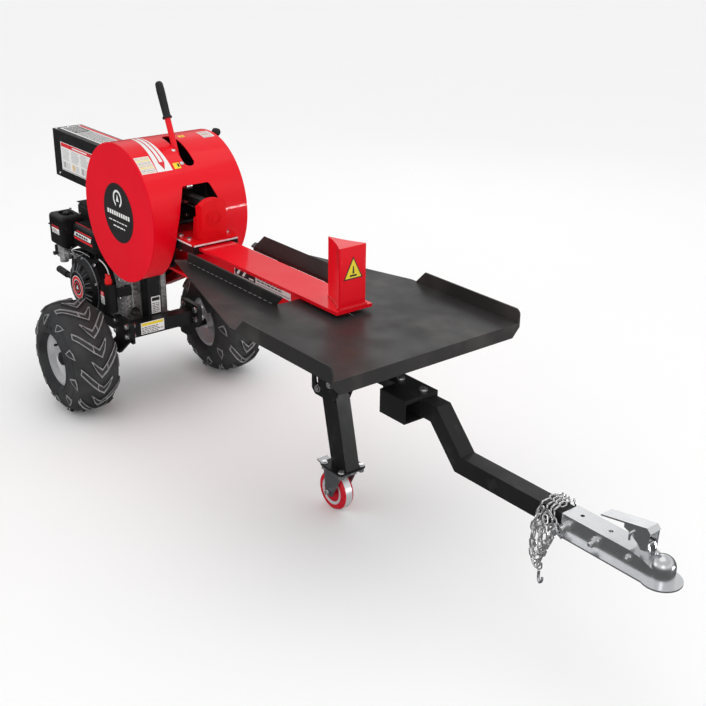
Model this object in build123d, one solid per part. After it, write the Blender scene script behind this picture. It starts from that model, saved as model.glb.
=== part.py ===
from build123d import *
import math
import os

# A towable kinetic log splitter. Two heavy flywheels on one shaft store the engine's energy; the operator's
# lever presses a toothed rack onto the shaft's pinion, and the rack throws the ram at a fixed wedge.
#
# Millimetres. X runs from the engine to the hitch, Y from the starter side to the belt side, Z is up
# and the ground is Z = 0. Positions are measured from the wheel axle, and MIDDLE_X moves the origin to
# the middle of the footprint when a part is written.

# ------------------------------------------------------------------ driving sizes
MIDDLE_X = 887.5

TYRE_R = 203.0
TYRE_W = 188.0
WHEEL_Y = 304.0
RIM_R = 89.0
STUB_R = 12.7

BEAM_TOP = 682.5
BEAM_SIZE = 127.0
BEAM_FLANGE = 10.0
BEAM_WEB = 8.0
BEAM_X = (-20.0, 1208.0)

DRUM_X = 161.0
DRUM_Z = 745.0
DRUM_R = 237.0
DRUM_Y = 181.0
SKIN = 3.0
DISC = 4.0

SHAFT_R = 17.5
FLYWHEEL_R = 205.0
FLYWHEEL_Y = (98.0, 136.0)
TOOTH_MODULE = 5.0
PINION_TEETH = 14
RACK_LIFT = 1.5
RACK_HALF = 15.0

CRANK_X = -185.0
CRANK_Z = 384.0
DECK_TOP = 264.0
BELT_Y = 149.0
DRIVEN_R = 160.0
DRIVER_R = 38.0
GUARD_R = 65.0

RAM_FACE_X = 476.0
RAM_HALF = 46.0
PLATE_X = (343.0, 483.0)
PLATE_HALF = 86.0
PLATE_LIFT = 6.0
SLIDE_GAP = 0.3

WEDGE_EDGE_X = 1086.0
WEDGE_FACE_X = 1199.0
WEDGE_HALF = 48.0
WEDGE_H = 179.0

TABLE_TOP = 660.0
TABLE_T = 5.0
TABLE_FRONT_X = 1532.0
TABLE_HALF = 331.0
SLOT_HALF = 125.0
SLOT_X = (500.0, 1008.0)

TUBE = 50.0
WALL = 4.0
BAR_TOP = 524.0
BAR_LOW_TOP = 417.0
BALL_X = 2306.0
BALL_Z = 403.0
BALL_R = 25.7

LEG_FOOT = (1173.0, 161.0)
LEG_TILT = 12.8
LEG_LENGTH = 300.0
LEG_DEPTH = 70.0
LEG_PIVOT = (1136.0, 426.0)
LEG_LOCK = (1078.0, 393.0)
LEG_FOLD = 86.0
CASTER_X = 1158.0
CASTER_TRAIL = 28.0
CASTER_R = 63.0

LEVER_PIVOT = (287.0, 858.0)
LEVER_TILT = 22.8
LEVER_TOP = 330.0


# ------------------------------------------------------------------ helpers
def block(x, y, z):
    """A block between two corners, each axis given as (low, high)."""
    middle = Pos((x[0] + x[1]) / 2, (y[0] + y[1]) / 2, (z[0] + z[1]) / 2)
    return middle * Box(x[1] - x[0], y[1] - y[0], z[1] - z[0])


def soft_block(x, y, z, radius):
    """A block with every edge rounded."""
    solid = block(x, y, z)
    return fillet(solid.edges(), radius)


def rod(radius, start, end):
    """A round bar from start to end."""
    line = Vector(*end) - Vector(*start)
    place = Plane(origin=start, z_dir=line)
    return place * extrude(Circle(radius), line.length)


def outline(points, corner=0.0):
    """A flat face through the points, its corners rounded."""
    face = Polygon(*points, align=None)
    return fillet(face.vertices(), corner) if corner else face


def along_y(face, y):
    """A face drawn in (x, z), extruded over the y range."""
    placed = Plane((0, y[1], 0), x_dir=(1, 0, 0), z_dir=(0, -1, 0)) * face
    return extrude(placed, y[1] - y[0], dir=(0, -1, 0))


def along_x(face, x):
    """A face drawn in (y, z), extruded over the x range."""
    placed = Plane((x[0], 0, 0), x_dir=(0, 1, 0), z_dir=(1, 0, 0)) * face
    return extrude(placed, x[1] - x[0], dir=(1, 0, 0))


def along_z(face, z):
    """A face drawn in (x, y), extruded over the z range."""
    return extrude(Pos(0, 0, z[0]) * face, z[1] - z[0], dir=(0, 0, 1))


def turned(points, x, z):
    """A profile of (radius, y) points turned about the axis through (x, z) along Y."""
    return Pos(x, 0, z) * revolve(Polygon(*points, align=None), Axis.Y)


def both_sides(solid):
    """The solid and its mirror image across the centre plane."""
    return [solid, mirror(solid, Plane.XZ)]


def ring_at(x, z, outer, inner):
    """A flat ring in (x, z)."""
    return Pos(x, z) * (Circle(outer) - Circle(inner))


def polar(radius, degrees, x=DRUM_X, z=DRUM_Z):
    """The (x, z) point at an angle round a centre, measured from +X towards +Z."""
    angle = math.radians(degrees)
    return (x + radius * math.cos(angle), z + radius * math.sin(angle))


def bolt(place, direction, grip, size=12.0):
    """A hex bolt with its nut: the head sits on place and the shank runs along direction."""
    head = extrude(RegularPolygon(size * 0.9, 6), -0.62 * size)
    washer = extrude(Circle(size), -0.15 * size)
    shank = extrude(Circle(size / 2), grip + size)
    nut = Pos(0, 0, grip) * extrude(RegularPolygon(size * 0.9, 6), 0.8 * size)
    return Plane(origin=place, z_dir=direction) * (head + washer + shank + nut)


def drill(solid, places, direction, length, radius):
    """The solid with a round hole at each place."""
    for place in places:
        end = Vector(*place) + Vector(*direction) * length
        solid -= rod(radius, place, tuple(end))
    return solid


def spread(xs, ys, zs):
    """Every combination of the given coordinates."""
    return [(x, y, z) for x in xs for y in ys for z in zs]


# Where the frame's M12 and M10 bolts sit.
AXLE_BOLTS = spread((20, 106), (139,), (270, 308))
BEARING_BOLTS = spread((DRUM_X - 38, DRUM_X + 38), (97.5,), (DRUM_Z - 38, DRUM_Z + 38))
RECEIVER_BOLTS = spread((1413, 1505), (0,), (537.5,))
COUPLER_BOLTS = spread((2051, 2137), (-30,), (393,))
POST_BOLTS = spread((-2, 28), (-45, 45), (539.5,))
RAM_BOLTS = spread((380, 432), (-71, 71), (BEAM_TOP + PLATE_LIFT + 12.15,))
ENGINE_BOLTS = spread((-275, -13), (-70, 70), (272,))
CASTER_BOLTS = spread((CASTER_X - 40, CASTER_X + 43), (-38, 38), (161,))


# ------------------------------------------------------------------ beam, wedge and drum frame
def main_beam():
    """A rolled H section, flanges level, that carries the ram and the wedge."""
    half = BEAM_SIZE / 2
    low = BEAM_TOP - BEAM_SIZE
    section = Rectangle(BEAM_SIZE, BEAM_SIZE)
    pocket = Rectangle(half - BEAM_WEB / 2, BEAM_SIZE - 2 * BEAM_FLANGE)
    for side in (-1, 1):
        section -= Pos(side * (half + BEAM_WEB / 2) / 2, 0) * pocket
    beam = along_x(Pos(0, low + half) * section, BEAM_X)
    web = (low + BEAM_FLANGE, BEAM_TOP - BEAM_FLANGE)
    beam -= block((BEAM_X[1] - 28, BEAM_X[1] + 1), (-half, half), web)
    return drill(beam, spread((-2, 28), (-45, 45), (low - 1,)), (0, 0, 1), BEAM_FLANGE + 2, 5.5)


def wedge():
    """The splitting wedge: hollow-ground flanks from a sharp edge to a flat back."""
    heel = WEDGE_FACE_X - 3
    near = ThreePointArc((WEDGE_EDGE_X, -1), (WEDGE_EDGE_X + 56, -20), (heel, -WEDGE_HALF))
    far = ThreePointArc((heel, WEDGE_HALF), (WEDGE_EDGE_X + 56, 20), (WEDGE_EDGE_X, 1))
    corners = [(heel, -WEDGE_HALF), (WEDGE_FACE_X, 3 - WEDGE_HALF), (WEDGE_FACE_X, WEDGE_HALF - 3), (heel, WEDGE_HALF)]
    edge = Line((WEDGE_EDGE_X, 1), (WEDGE_EDGE_X, -1))
    return along_z(make_face([near, Polyline(*corners), far, edge]), (BEAM_TOP, BEAM_TOP + WEDGE_H))


def bearing_frame():
    """Two plates up the beam's sides that hold the shaft bearings, with ties, a rack rest and drum lugs."""
    plate_y = (BEAM_SIZE / 2, BEAM_SIZE / 2 + 8)
    shape = outline([(90, 575), (325, 575), (325, 800), (308, 885), (205, 885), (96, 870)], 8)
    plate = along_y(shape, plate_y)
    plate = drill(plate, [(DRUM_X, 60, DRUM_Z)], (0, 1, 0), 20, SHAFT_R + 3)
    plate = drill(plate, spread((DRUM_X - 38, DRUM_X + 38), (60,), (DRUM_Z - 38, DRUM_Z + 38)), (0, 1, 0), 20, 5.5)
    plate = drill(plate, [(LEVER_PIVOT[0], 60, LEVER_PIVOT[1])], (0, 1, 0), 20, 8.0)
    lug = block((302, 322), (plate_y[0], 120), (577, 585))
    plates = both_sides(plate + lug)
    inner = (-plate_y[0], plate_y[0])
    rest = block((215, 235), inner, (768, DRUM_Z + 40 + RACK_LIFT - SLIDE_GAP))
    frame = plates[0] + plates[1] + rest
    for x, z in ((312, 722), (108, 840)):
        frame += rod(8, (x, inner[0], z), (x, inner[1], z))
    return frame


def shaft_bearings():
    """The two flange bearings, bolted outside the plates."""
    inner = BEAM_SIZE / 2 + 8
    flange = Rectangle(104, 104)
    flange = fillet(flange.vertices(), 14)
    housing = along_y(Pos(DRUM_X, DRUM_Z) * flange, (inner, inner + 12))
    housing += along_y(ring_at(DRUM_X, DRUM_Z, 36, SHAFT_R), (inner, inner + 24))
    housing = drill(housing, [(DRUM_X, inner - 1, DRUM_Z)], (0, 1, 0), 30, SHAFT_R + 0.05)
    holes = spread((DRUM_X - 38, DRUM_X + 38), (inner - 1,), (DRUM_Z - 38, DRUM_Z + 38))
    return both_sides(drill(housing, holes, (0, 1, 0), 20, 5.2))


# ------------------------------------------------------------------ flywheel shaft
def flywheel_shaft():
    """The shaft that carries both flywheels, the pinion and the driven pulley."""
    return rod(SHAFT_R, (DRUM_X, -146, DRUM_Z), (DRUM_X, 172, DRUM_Z))


def flywheels():
    """Two cast discs with heavy rims, one each side of the bearing frame."""
    low, high = FLYWHEEL_Y
    web = (low + 10, high - 10)
    profile = [
        (SHAFT_R, low),
        (45, low),
        (52, web[0]),
        (160, web[0]),
        (166, low),
        (FLYWHEEL_R, low),
        (FLYWHEEL_R, high),
        (166, high),
        (160, web[1]),
        (52, web[1]),
        (45, high),
        (SHAFT_R, high),
    ]
    return both_sides(turned(profile, DRUM_X, DRUM_Z))


def pinion():
    """The spur pinion in the middle of the shaft."""
    pitch_r = TOOTH_MODULE * PINION_TEETH / 2
    tip, root = pitch_r + TOOTH_MODULE, pitch_r - 1.25 * TOOTH_MODULE
    step = 360 / PINION_TEETH
    points = []
    for tooth in range(PINION_TEETH):
        for radius, share in ((root, -0.34), (tip, -0.13), (tip, 0.13), (root, 0.34)):
            points.append(polar(radius, 90 + (tooth + 0.5 + share) * step, 0, 0))
    gear = Polygon(*points, align=None) - Circle(SHAFT_R)
    return along_y(Pos(DRUM_X, DRUM_Z) * gear, (-17, 17))


def sheave(outer, bore, x, z, half=11.0):
    """A single-groove pulley centred on the belt line."""
    low, high = BELT_Y - half, BELT_Y + half
    profile = [
        (bore, low),
        (outer, low),
        (outer, BELT_Y - 7),
        (outer - 9.3, BELT_Y - 5.4),
        (outer - 9.3, BELT_Y + 5.4),
        (outer, BELT_Y + 7),
        (outer, high),
        (bore, high),
    ]
    return turned(profile, x, z)


def driven_pulley():
    """The large pulley on the flywheel shaft, lightened between hub and rim."""
    wheel = sheave(DRIVEN_R, SHAFT_R, DRUM_X, DRUM_Z)
    pocket = along_y(ring_at(DRUM_X, DRUM_Z, 136, 42), (BELT_Y - 12, BELT_Y - 5))
    return wheel - pocket


def engine_pulley():
    """The small pulley with its crankshaft stub."""
    stub = rod(12.5, (CRANK_X, 108.5, CRANK_Z), (CRANK_X, BELT_Y + 14, CRANK_Z))
    return sheave(DRIVER_R, 12.5, CRANK_X, CRANK_Z) + stub


def teardrop(big, small):
    """The outline of a band round the flywheel shaft and the crankshaft, in (x, z)."""
    span = math.hypot(DRUM_X - CRANK_X, DRUM_Z - CRANK_Z)
    lean = math.degrees(math.atan2(DRUM_Z - CRANK_Z, DRUM_X - CRANK_X))
    open_angle = math.degrees(math.acos((small - big) / span))
    corners = [
        polar(big, lean + open_angle),
        polar(small, lean + open_angle, CRANK_X, CRANK_Z),
        polar(small, lean - open_angle, CRANK_X, CRANK_Z),
        polar(big, lean - open_angle),
    ]
    ends = Pos(DRUM_X, DRUM_Z) * Circle(big) + Pos(CRANK_X, CRANK_Z) * Circle(small)
    return ends + Polygon(*corners, align=None)


def drive_belt():
    """The belt, a closed band that clears both grooves by a hair."""
    band = teardrop(DRIVEN_R - 1, DRIVER_R - 1) - teardrop(DRIVEN_R - 9, DRIVER_R - 9)
    return along_y(band, (BELT_Y - 5, BELT_Y + 5))


# ------------------------------------------------------------------ drum housing
def drum_disc():
    """The round side plate on the starter side."""
    return along_y(Pos(DRUM_X, DRUM_Z) * Circle(DRUM_R), (-DRUM_Y, -DRUM_Y + DISC))


def belt_guard():
    """The belt side plate: the drum's end and the belt's cover in one, with a rim round the lower lobe."""
    plate = along_y(teardrop(DRUM_R, GUARD_R), (DRUM_Y - DISC, DRUM_Y))
    rim = teardrop(DRUM_R, GUARD_R) - teardrop(DRUM_R - SKIN, GUARD_R - SKIN)
    rim -= Pos(DRUM_X, DRUM_Z) * Circle(DRUM_R + 0.2)
    return plate + along_y(rim, (121, DRUM_Y - DISC))


def drum_skin():
    """The rolled sheet between the side plates, open below, with windows for the ram, lever and rack."""
    wide = 2 * DRUM_R
    keep = Polygon(
        (0, 0),
        polar(wide, -57, 0, 0),
        (wide, 0),
        (wide, wide),
        (-wide, wide),
        (-wide, 0),
        polar(wide, 193, 0, 0),
        align=None,
    )
    ring = (Circle(DRUM_R) - Circle(DRUM_R - SKIN)) & keep
    skin = along_y(Pos(DRUM_X, DRUM_Z) * ring, (-DRUM_Y + DISC, DRUM_Y - DISC))
    half = [(50, 861), (72, 808), (93, 728), (99, 640), (99, 500)]
    window = outline([(-y, z) for y, z in half] + [(y, z) for y, z in reversed(half)])
    window = fillet(window.vertices().group_by(Axis.Y)[-1], 12)
    skin -= along_x(window, (DRUM_X + 40, DRUM_X + 2 * DRUM_R))
    slot_y, slot_half = 9.0, 20.0
    span = [polar(wide, angle) for angle in (50, 60, 70, 80)]
    sector = Polygon((DRUM_X, DRUM_Z), *span, polar(wide, 84), align=None)
    skin -= along_y(sector, (slot_y - slot_half, slot_y + slot_half))
    for angle in (50, 84):
        start, end = polar(180, angle), polar(260, angle)
        skin -= rod(slot_half, (start[0], slot_y, start[1]), (end[0], slot_y, end[1]))
    skin -= block((-200, 60), (-61.5, 61.5), (708.5, 891.5))
    return skin


def rack_cover():
    """The sheet box behind the drum that the rack runs back into."""
    outer = block((-580, -30), (-60, 60), (710, 890))
    return outer - block((-577.5, -20), (-57.5, 57.5), (712.5, 887.5))


# ------------------------------------------------------------------ ram
def ram_rack():
    """The toothed bar, teeth down, lifted just clear of the pinion."""
    pitch = math.pi * TOOTH_MODULE
    tip = DRUM_Z + TOOTH_MODULE * PINION_TEETH / 2 + TOOTH_MODULE + RACK_LIFT
    root = tip + 2.25 * TOOTH_MODULE
    rear, toothed, front = -545.0, 330.0, RAM_FACE_X - 25
    count = int((toothed - rear) / pitch)
    points = [(front, root), (front, 820), (rear, 820), (rear, root)]
    for tooth in range(count):
        start = rear + 2 + tooth * pitch
        points += [(start, root), (start + 4, tip), (start + 7.7, tip), (start + 11.7, root)]
    return along_y(outline(points), (-RACK_HALF, RACK_HALF))


def ram_block():
    """The pusher: a thick arched plate with stepped side gussets and a raised ring on its face."""
    low = BEAM_TOP + PLATE_LIFT + 12
    back = RAM_FACE_X - 25
    shoulder, crown = 818.0, 835.0
    side = Polyline((RAM_HALF, shoulder), (RAM_HALF, low), (-RAM_HALF, low), (-RAM_HALF, shoulder))
    arch = ThreePointArc((-RAM_HALF, shoulder), (0, crown), (RAM_HALF, shoulder))
    face = along_x(make_face([side, arch]), (back, RAM_FACE_X))
    steps = [(back + 1, low), (back + 1, 812), (438, 812), (438, 776), (424, 770), (414, low)]
    gusset = along_y(outline(steps), (RAM_HALF - 7, RAM_HALF))
    gussets = both_sides(gusset)
    ring = along_x(Pos(0, 772) * (Circle(28) - Circle(24)), (RAM_FACE_X, RAM_FACE_X + 1.5))
    return face + gussets[0] + gussets[1] + ring


def ram_base_plate():
    """The plate that rides on the beam and carries the pusher."""
    low = BEAM_TOP + PLATE_LIFT
    shape = Pos((PLATE_X[0] + PLATE_X[1]) / 2, 0) * Rectangle(PLATE_X[1] - PLATE_X[0], 2 * PLATE_HALF)
    shape = fillet(shape.vertices(), 14)
    plate = along_z(shape, (low, low + 12))
    return drill(plate, RAM_BOLTS, (0, 0, -1), 14, 5.2)


def ram_keepers():
    """The C-shaped guides that carry the base plate over the beam's top flange and hook under it."""
    under = BEAM_TOP - BEAM_FLANGE - SLIDE_GAP
    over, top = BEAM_TOP + SLIDE_GAP, BEAM_TOP + PLATE_LIFT
    edge = BEAM_SIZE / 2 + 0.7
    jaw = [(44, under - 12), (44, under), (edge, under), (edge, over), (44, over), (44, top)]
    section = outline([(PLATE_HALF, top), (PLATE_HALF, under - 12), *jaw])
    guide = along_x(section, (PLATE_X[0] + 4, PLATE_X[1] - 4))
    return both_sides(drill(guide, spread((380, 432), (71,), (top + 1,)), (0, 0, -1), 36, 5.2))


def ram_bolts():
    """Four bolts through the base plate and the keepers."""
    return [bolt(place, (0, 0, -1), 40.6, 10) for place in RAM_BOLTS]


def return_springs():
    """Two long close-wound springs beside the rack that pull the ram back, with straight wire ends."""
    coil_x = (-560.0, -160.0)
    turns = 80
    pitch = (coil_x[1] - coil_x[0]) / turns
    upper = [(coil_x[0], 9.0)]
    for turn in range(turns):
        start = coil_x[0] + turn * pitch
        upper += [(start + pitch / 2, 11.0), (start + pitch, 9.0)]
    profile = Polygon((coil_x[0], 7.0), *upper, (coil_x[1], 7.0), align=None)
    coil = revolve(profile, Axis.X)
    ends = rod(9, (coil_x[0], 0, 0), (coil_x[0] + 3, 0, 0)) + rod(9, (coil_x[1] - 3, 0, 0), (coil_x[1], 0, 0))
    wires = rod(2, (-577.4, 0, 0), (coil_x[0], 0, 0)) + rod(2, (coil_x[1], 0, 0), (RAM_FACE_X - 25.4, 0, 0))
    return both_sides(Pos(0, 36, 800) * (coil + ends + wires))


# ------------------------------------------------------------------ lever
def lever_frame(solid):
    """A solid drawn upright at the origin, set on the lever's pivot at the lever's lean."""
    return Pos(LEVER_PIVOT[0], 0, LEVER_PIVOT[1]) * Rot(0, -LEVER_TILT, 0) * solid


def engage_lever():
    """The hand lever: a tube up through the drum's slot, a pivot hub and a fork that holds the press roller."""
    tube = rod(10, (0, 0, 10), (0, 0, LEVER_TOP - 20)) - rod(7.5, (0, 0, 30), (0, 0, LEVER_TOP))
    hub = rod(15, (0, -22, 0), (0, 22, 0))
    lever = lever_frame(tube + hub)
    fork = outline([(-6, -11), (-4, 12), (34, -2), (38, -12), (30, -22)], 4)
    cheek = Pos(LEVER_PIVOT[0], 0, LEVER_PIVOT[1]) * along_y(fork, (12, 17))
    cheeks = both_sides(cheek)
    lever += cheeks[0] + cheeks[1]
    lever -= rod(8.05, (LEVER_PIVOT[0], -30, LEVER_PIVOT[1]), (LEVER_PIVOT[0], 30, LEVER_PIVOT[1]))
    axle = rod(4, (LEVER_PIVOT[0] + 30, -17, LEVER_PIVOT[1] - 12), (LEVER_PIVOT[0] + 30, 17, LEVER_PIVOT[1] - 12))
    return lever + axle


def press_roller():
    """The roller that the lever brings down on the rack's back."""
    profile = [(4.05, -11.5), (14, -11.5), (14, 11.5), (4.05, 11.5)]
    return turned(profile, LEVER_PIVOT[0] + 30, LEVER_PIVOT[1] - 12)


def lever_grip():
    """The moulded handgrip with a collar at its foot and a domed end."""
    collar = [(10.2, 208), (16, 208), (16, 214), (12.5, 218)]
    profile = collar + [(14, 300), (12.5, 326), (7, 332), (0, 333), (0, 318), (10.2, 318)]
    return lever_frame(revolve(Plane.XZ * Polygon(*profile, align=None), Axis.Z))


# ------------------------------------------------------------------ log table
def table():
    """The log table: a bent plate round the beam with wings, cradle lips, side lips and a front apron."""
    under = TABLE_TOP - TABLE_T
    half = [(SLOT_X[0], SLOT_HALF), (478, 155), (1075, TABLE_HALF), (TABLE_FRONT_X, TABLE_HALF)]
    edge = [(x, -y) for x, y in half] + [(x, y) for x, y in reversed(half)]
    slot_face = Pos((300 + SLOT_X[1]) / 2, 0) * Rectangle(SLOT_X[1] - 300, 2 * SLOT_HALF)
    slot_face = fillet(slot_face.vertices().group_by(Axis.X)[-1], 15)
    web_slot = Pos((1000 + BEAM_X[1]) / 2, 0) * Rectangle(BEAM_X[1] - 1000 + 1, BEAM_WEB + 0.4)
    plate = along_z(outline(edge) - slot_face - web_slot, (under, TABLE_TOP))
    fold = SLOT_HALF + TABLE_T
    skirt = under - 8
    rise = [(SLOT_HALF + 22, 700), (SLOT_HALF + 17.5, 702), (SLOT_HALF, under)]
    lean = outline([(SLOT_HALF, skirt), (fold, skirt), (fold, TABLE_TOP - 1), *rise])
    lip = along_x(lean, (512, 1064))
    ends = [(1003, under), (1003, skirt), (512, skirt), (512, under)]
    lip &= along_y(outline([(552, 702), (1062, 702), *ends], 3), (0, 200))
    side = Polyline((1515, 700), (1140, 700), (1095, under), (TABLE_FRONT_X, under), (TABLE_FRONT_X, 683))
    nose = RadiusArc((TABLE_FRONT_X, 683), (1515, 700), -17)
    side_lip = along_y(make_face([side, nose]), (TABLE_HALF - TABLE_T, TABLE_HALF))
    lips = both_sides(lip) + both_sides(side_lip)
    low = TABLE_TOP - 40
    corner = [(TABLE_HALF - 26, low), (TABLE_HALF, 648), (TABLE_HALF, under)]
    apron = [(-y, z) for y, z in reversed(corner)] + corner
    plate += along_x(outline(apron), (TABLE_FRONT_X - TABLE_T, TABLE_FRONT_X))
    for part in lips:
        plate += part
    return plate


def table_supports():
    """Cross plates under the table: two that pass below the beam and one that stands on the hitch spine."""
    under = TABLE_TOP - TABLE_T
    low = BEAM_TOP - BEAM_SIZE
    plates = []
    for x, reach in ((640, 185), (900, 260)):
        notch = [(132, under), (132, low), (-132, low), (-132, under)]
        foot = [(140, low - 32), (reach, under - 25), (reach, under)]
        shape = notch + [(-y, z) for y, z in reversed(foot)] + foot
        plates.append(along_x(outline(shape), (x, x + 6)))
    web = outline([(-45, low), (45, low), (235, under - 25), (235, under), (-235, under), (-235, under - 25)])
    plates.append(along_x(web, (1300, 1306)))
    return plates


# ------------------------------------------------------------------ hitch
def square_tube(x, y, z, wall=WALL):
    """An open square tube along X."""
    return block(x, y, z) - block((x[0] - 1, x[1] + 1), (y[0] + wall, y[1] - wall), (z[0] + wall, z[1] - wall))


def hitch_receiver():
    """The spine under the beam with a double receiver at its front: one bay for the tow bar, one left free."""
    low = BEAM_TOP - BEAM_SIZE
    spine = square_tube((950, 1374), (-25, 25), (low - TUBE, low))
    end = block((1374, 1380), (-31, 31), (468, low))
    bay = (BAR_TOP - TUBE - 0.5, BAR_TOP + 0.5)
    bar_bay = square_tube((1380, 1529), (-30.5, 30.5), (bay[0] - 5, bay[1] + 5), 5)
    free_bay = square_tube((1427, 1529), (-86.5, -25.5), (bay[0] - 5, bay[1] + 5), 5)
    top = block((1380, 1529), (-30.5, 30.5), (bay[1] + 5, 537.5))
    top += block((1427, 1529), (-86.5, -30.5), (bay[1] + 5, 537.5))
    receiver = end + bar_bay + free_bay + top
    return drill(spine + receiver, RECEIVER_BOLTS, (0, 0, -1), 80, 6.2)


def tow_bar():
    """The cranked square tube from the receiver down to the coupler."""
    drop = BAR_TOP - BAR_LOW_TOP
    start, bend, low_bend, end = 1392.0, 1585.0, 1585.0 + drop * 0.93, 2150.0
    lean = math.degrees(math.atan2(drop, low_bend - bend))

    def offset_line(depth):
        shift = depth * math.tan(math.radians(lean / 2))
        return [
            (start, BAR_TOP - depth),
            (bend - shift, BAR_TOP - depth),
            (low_bend - shift, BAR_LOW_TOP - depth),
            (end, BAR_LOW_TOP - depth),
        ]

    def band(top, bottom, half):
        face = outline(offset_line(top) + list(reversed(offset_line(bottom))))
        return along_y(face, (-half, half))

    bar = band(0, TUBE, TUBE / 2) - band(WALL, TUBE - WALL, TUBE / 2 - WALL)
    bar = drill(bar, RECEIVER_BOLTS, (0, 0, -1), 80, 6.2)
    return drill(bar, COUPLER_BOLTS, (0, 1, 0), 60, 6.2)


def coupler_body():
    """The pressed ball coupler: a lipped channel over the bar, a domed ball socket and two latch ears."""
    rear, half, top = 2035.0, 29.6, BAR_LOW_TOP + 4.2
    low = 370.0
    channel = block((rear, 2235), (-half, half), (low, top))
    ridge = [(2262, top - 4), (BALL_X - 26, BALL_Z + 9), (BALL_X, BALL_Z)]
    taper = outline([(2235, low), (2235, top), *ridge, (BALL_X, low)])
    nose = along_y(taper, (-half, half))
    socket = Pos(BALL_X, 0, BALL_Z) * Sphere(BALL_R + 4.5)
    skirt = rod(BALL_R + 4.5, (BALL_X, 0, low), (BALL_X, 0, BALL_Z))
    lip_plan = Pos((rear + BALL_X) / 2, 0) * Rectangle(BALL_X - rear, 88) + Pos(BALL_X, 0) * Circle(49)
    lip_plan -= Pos((rear + BALL_X) / 2, 0) * Rectangle(BALL_X - rear + 2, 40)
    lip_plan -= Pos(BALL_X, 0) * Circle(BALL_R + 1)
    lip = along_z(lip_plan, (low - 3, low + 1))
    body = channel + nose + socket + skirt + lip
    body -= block((rear - 1, 2153), (-25.3, 25.3), (low - 10, BAR_LOW_TOP + 0.2))
    body -= block((2153, BALL_X), (-20, 20), (low - 10, BALL_Z - 4))
    body -= Pos(BALL_X, 0, BALL_Z) * Sphere(BALL_R)
    body -= rod(BALL_R, (BALL_X, 0, low - 30), (BALL_X, 0, BALL_Z))
    ear = along_y(outline([(2240, 408), (2240, 432), (2252, 447), (2270, 447), (2276, 432), (2276, 402)], 3), (9, 13))
    for piece in both_sides(ear):
        body += piece
    body = drill(body, spread((2073, 2158), (0,), (top + 1,)), (0, 0, -1), 12, 5.5)
    body = drill(body, COUPLER_BOLTS, (0, 1, 0), 60, 6.2)
    return drill(body, [(2261, -20, 438)], (0, 1, 0), 40, 4.05)


def coupler_latch():
    """The latch lever: a folded channel that lifts about its cross pin."""
    roof = outline([(2138, 461), (2139, 465), (2266, 489), (2277, 478), (2273, 475), (2264, 484)])
    top = along_y(roof, (-19, 19))
    back = [(2256, 428), (2246, 440), (2222, 457), (2205, 463)]
    side = outline([(2205, 475), (2264, 486), (2274, 476), (2272, 432), *back], 2)
    cheek = along_y(side, (15, 19))
    latch = top + rod(4, (2261, -19, 438), (2261, 19, 438))
    for piece in both_sides(cheek):
        latch += piece
    return latch - rod(3.05, (2228, -30, 461), (2228, 30, 461))


def latch_pin():
    """The bent keeper pin through the latch's cheeks."""
    pin = rod(3, (2228, -27, 461), (2228, 30, 461))
    return pin + rod(3, (2228, -26, 461), (2228, -26, 444))


def safety_chain():
    """The stowed safety chain as the space it fills: four turns round the bar and a hanging end."""
    turns = []
    for x, lean in ((1972, 4), (1988, -3), (2004, 5), (2019, -4)):
        outer = fillet(Rectangle(82, 82).vertices(), 22)
        inner = fillet(Rectangle(62, 62).vertices(), 12)
        loop = along_x(outer - inner, (-5, 5))
        turns.append(Pos(x, 0, BAR_LOW_TOP - TUBE / 2) * Rot(0, lean, 0) * loop)
    tail = rod(14, (2008, -56, 410), (2003, -58, 318)) + rod(6, (2003, -58, 318), (2003, -58, 256))
    return turns + [tail]


# ------------------------------------------------------------------ front leg and caster
def leg_frame(solid):
    """A solid drawn upright at the origin, set on the leg's foot at the leg's lean."""
    return Pos(LEG_FOOT[0], 0, LEG_FOOT[1]) * Rot(0, -LEG_TILT, 0) * solid


def leg():
    """The front leg: a leaning tube with a foot plate, closed at the top, and a lug for the lock bolt."""
    depth = (-LEG_DEPTH / 2, LEG_DEPTH / 2)
    tube = leg_frame(block(depth, (-25, 25), (-20, LEG_LENGTH)))
    tube -= leg_frame(block((depth[0] + WALL, depth[1] - WALL), (-21, 21), (-21, LEG_LENGTH - WALL)))
    tube -= block((1000, 1300), (-60, 60), (0, LEG_FOOT[1]))
    foot = Pos(CASTER_X + 1.5, 0) * Rectangle(105, 100)
    foot = along_z(fillet(foot.vertices(), 10), (155, LEG_FOOT[1]))
    lug = block((LEG_LOCK[0] - 12, LEG_LOCK[0] + 14), (-25, 25), (LEG_LOCK[1] - 14, LEG_LOCK[1] + 14))
    lug -= leg_frame(block((depth[0], depth[1]), (-30, 30), (-20, LEG_LENGTH)))
    whole = tube + foot + lug
    whole = drill(whole, [(LEG_PIVOT[0], -30, LEG_PIVOT[1])], (0, 1, 0), 60, 6.05)
    whole = drill(whole, [(LEG_LOCK[0], -30, LEG_LOCK[1])], (0, 1, 0), 60, 6.0)
    return drill(whole, CASTER_BOLTS, (0, 0, -1), 20, 5.2)


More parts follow.
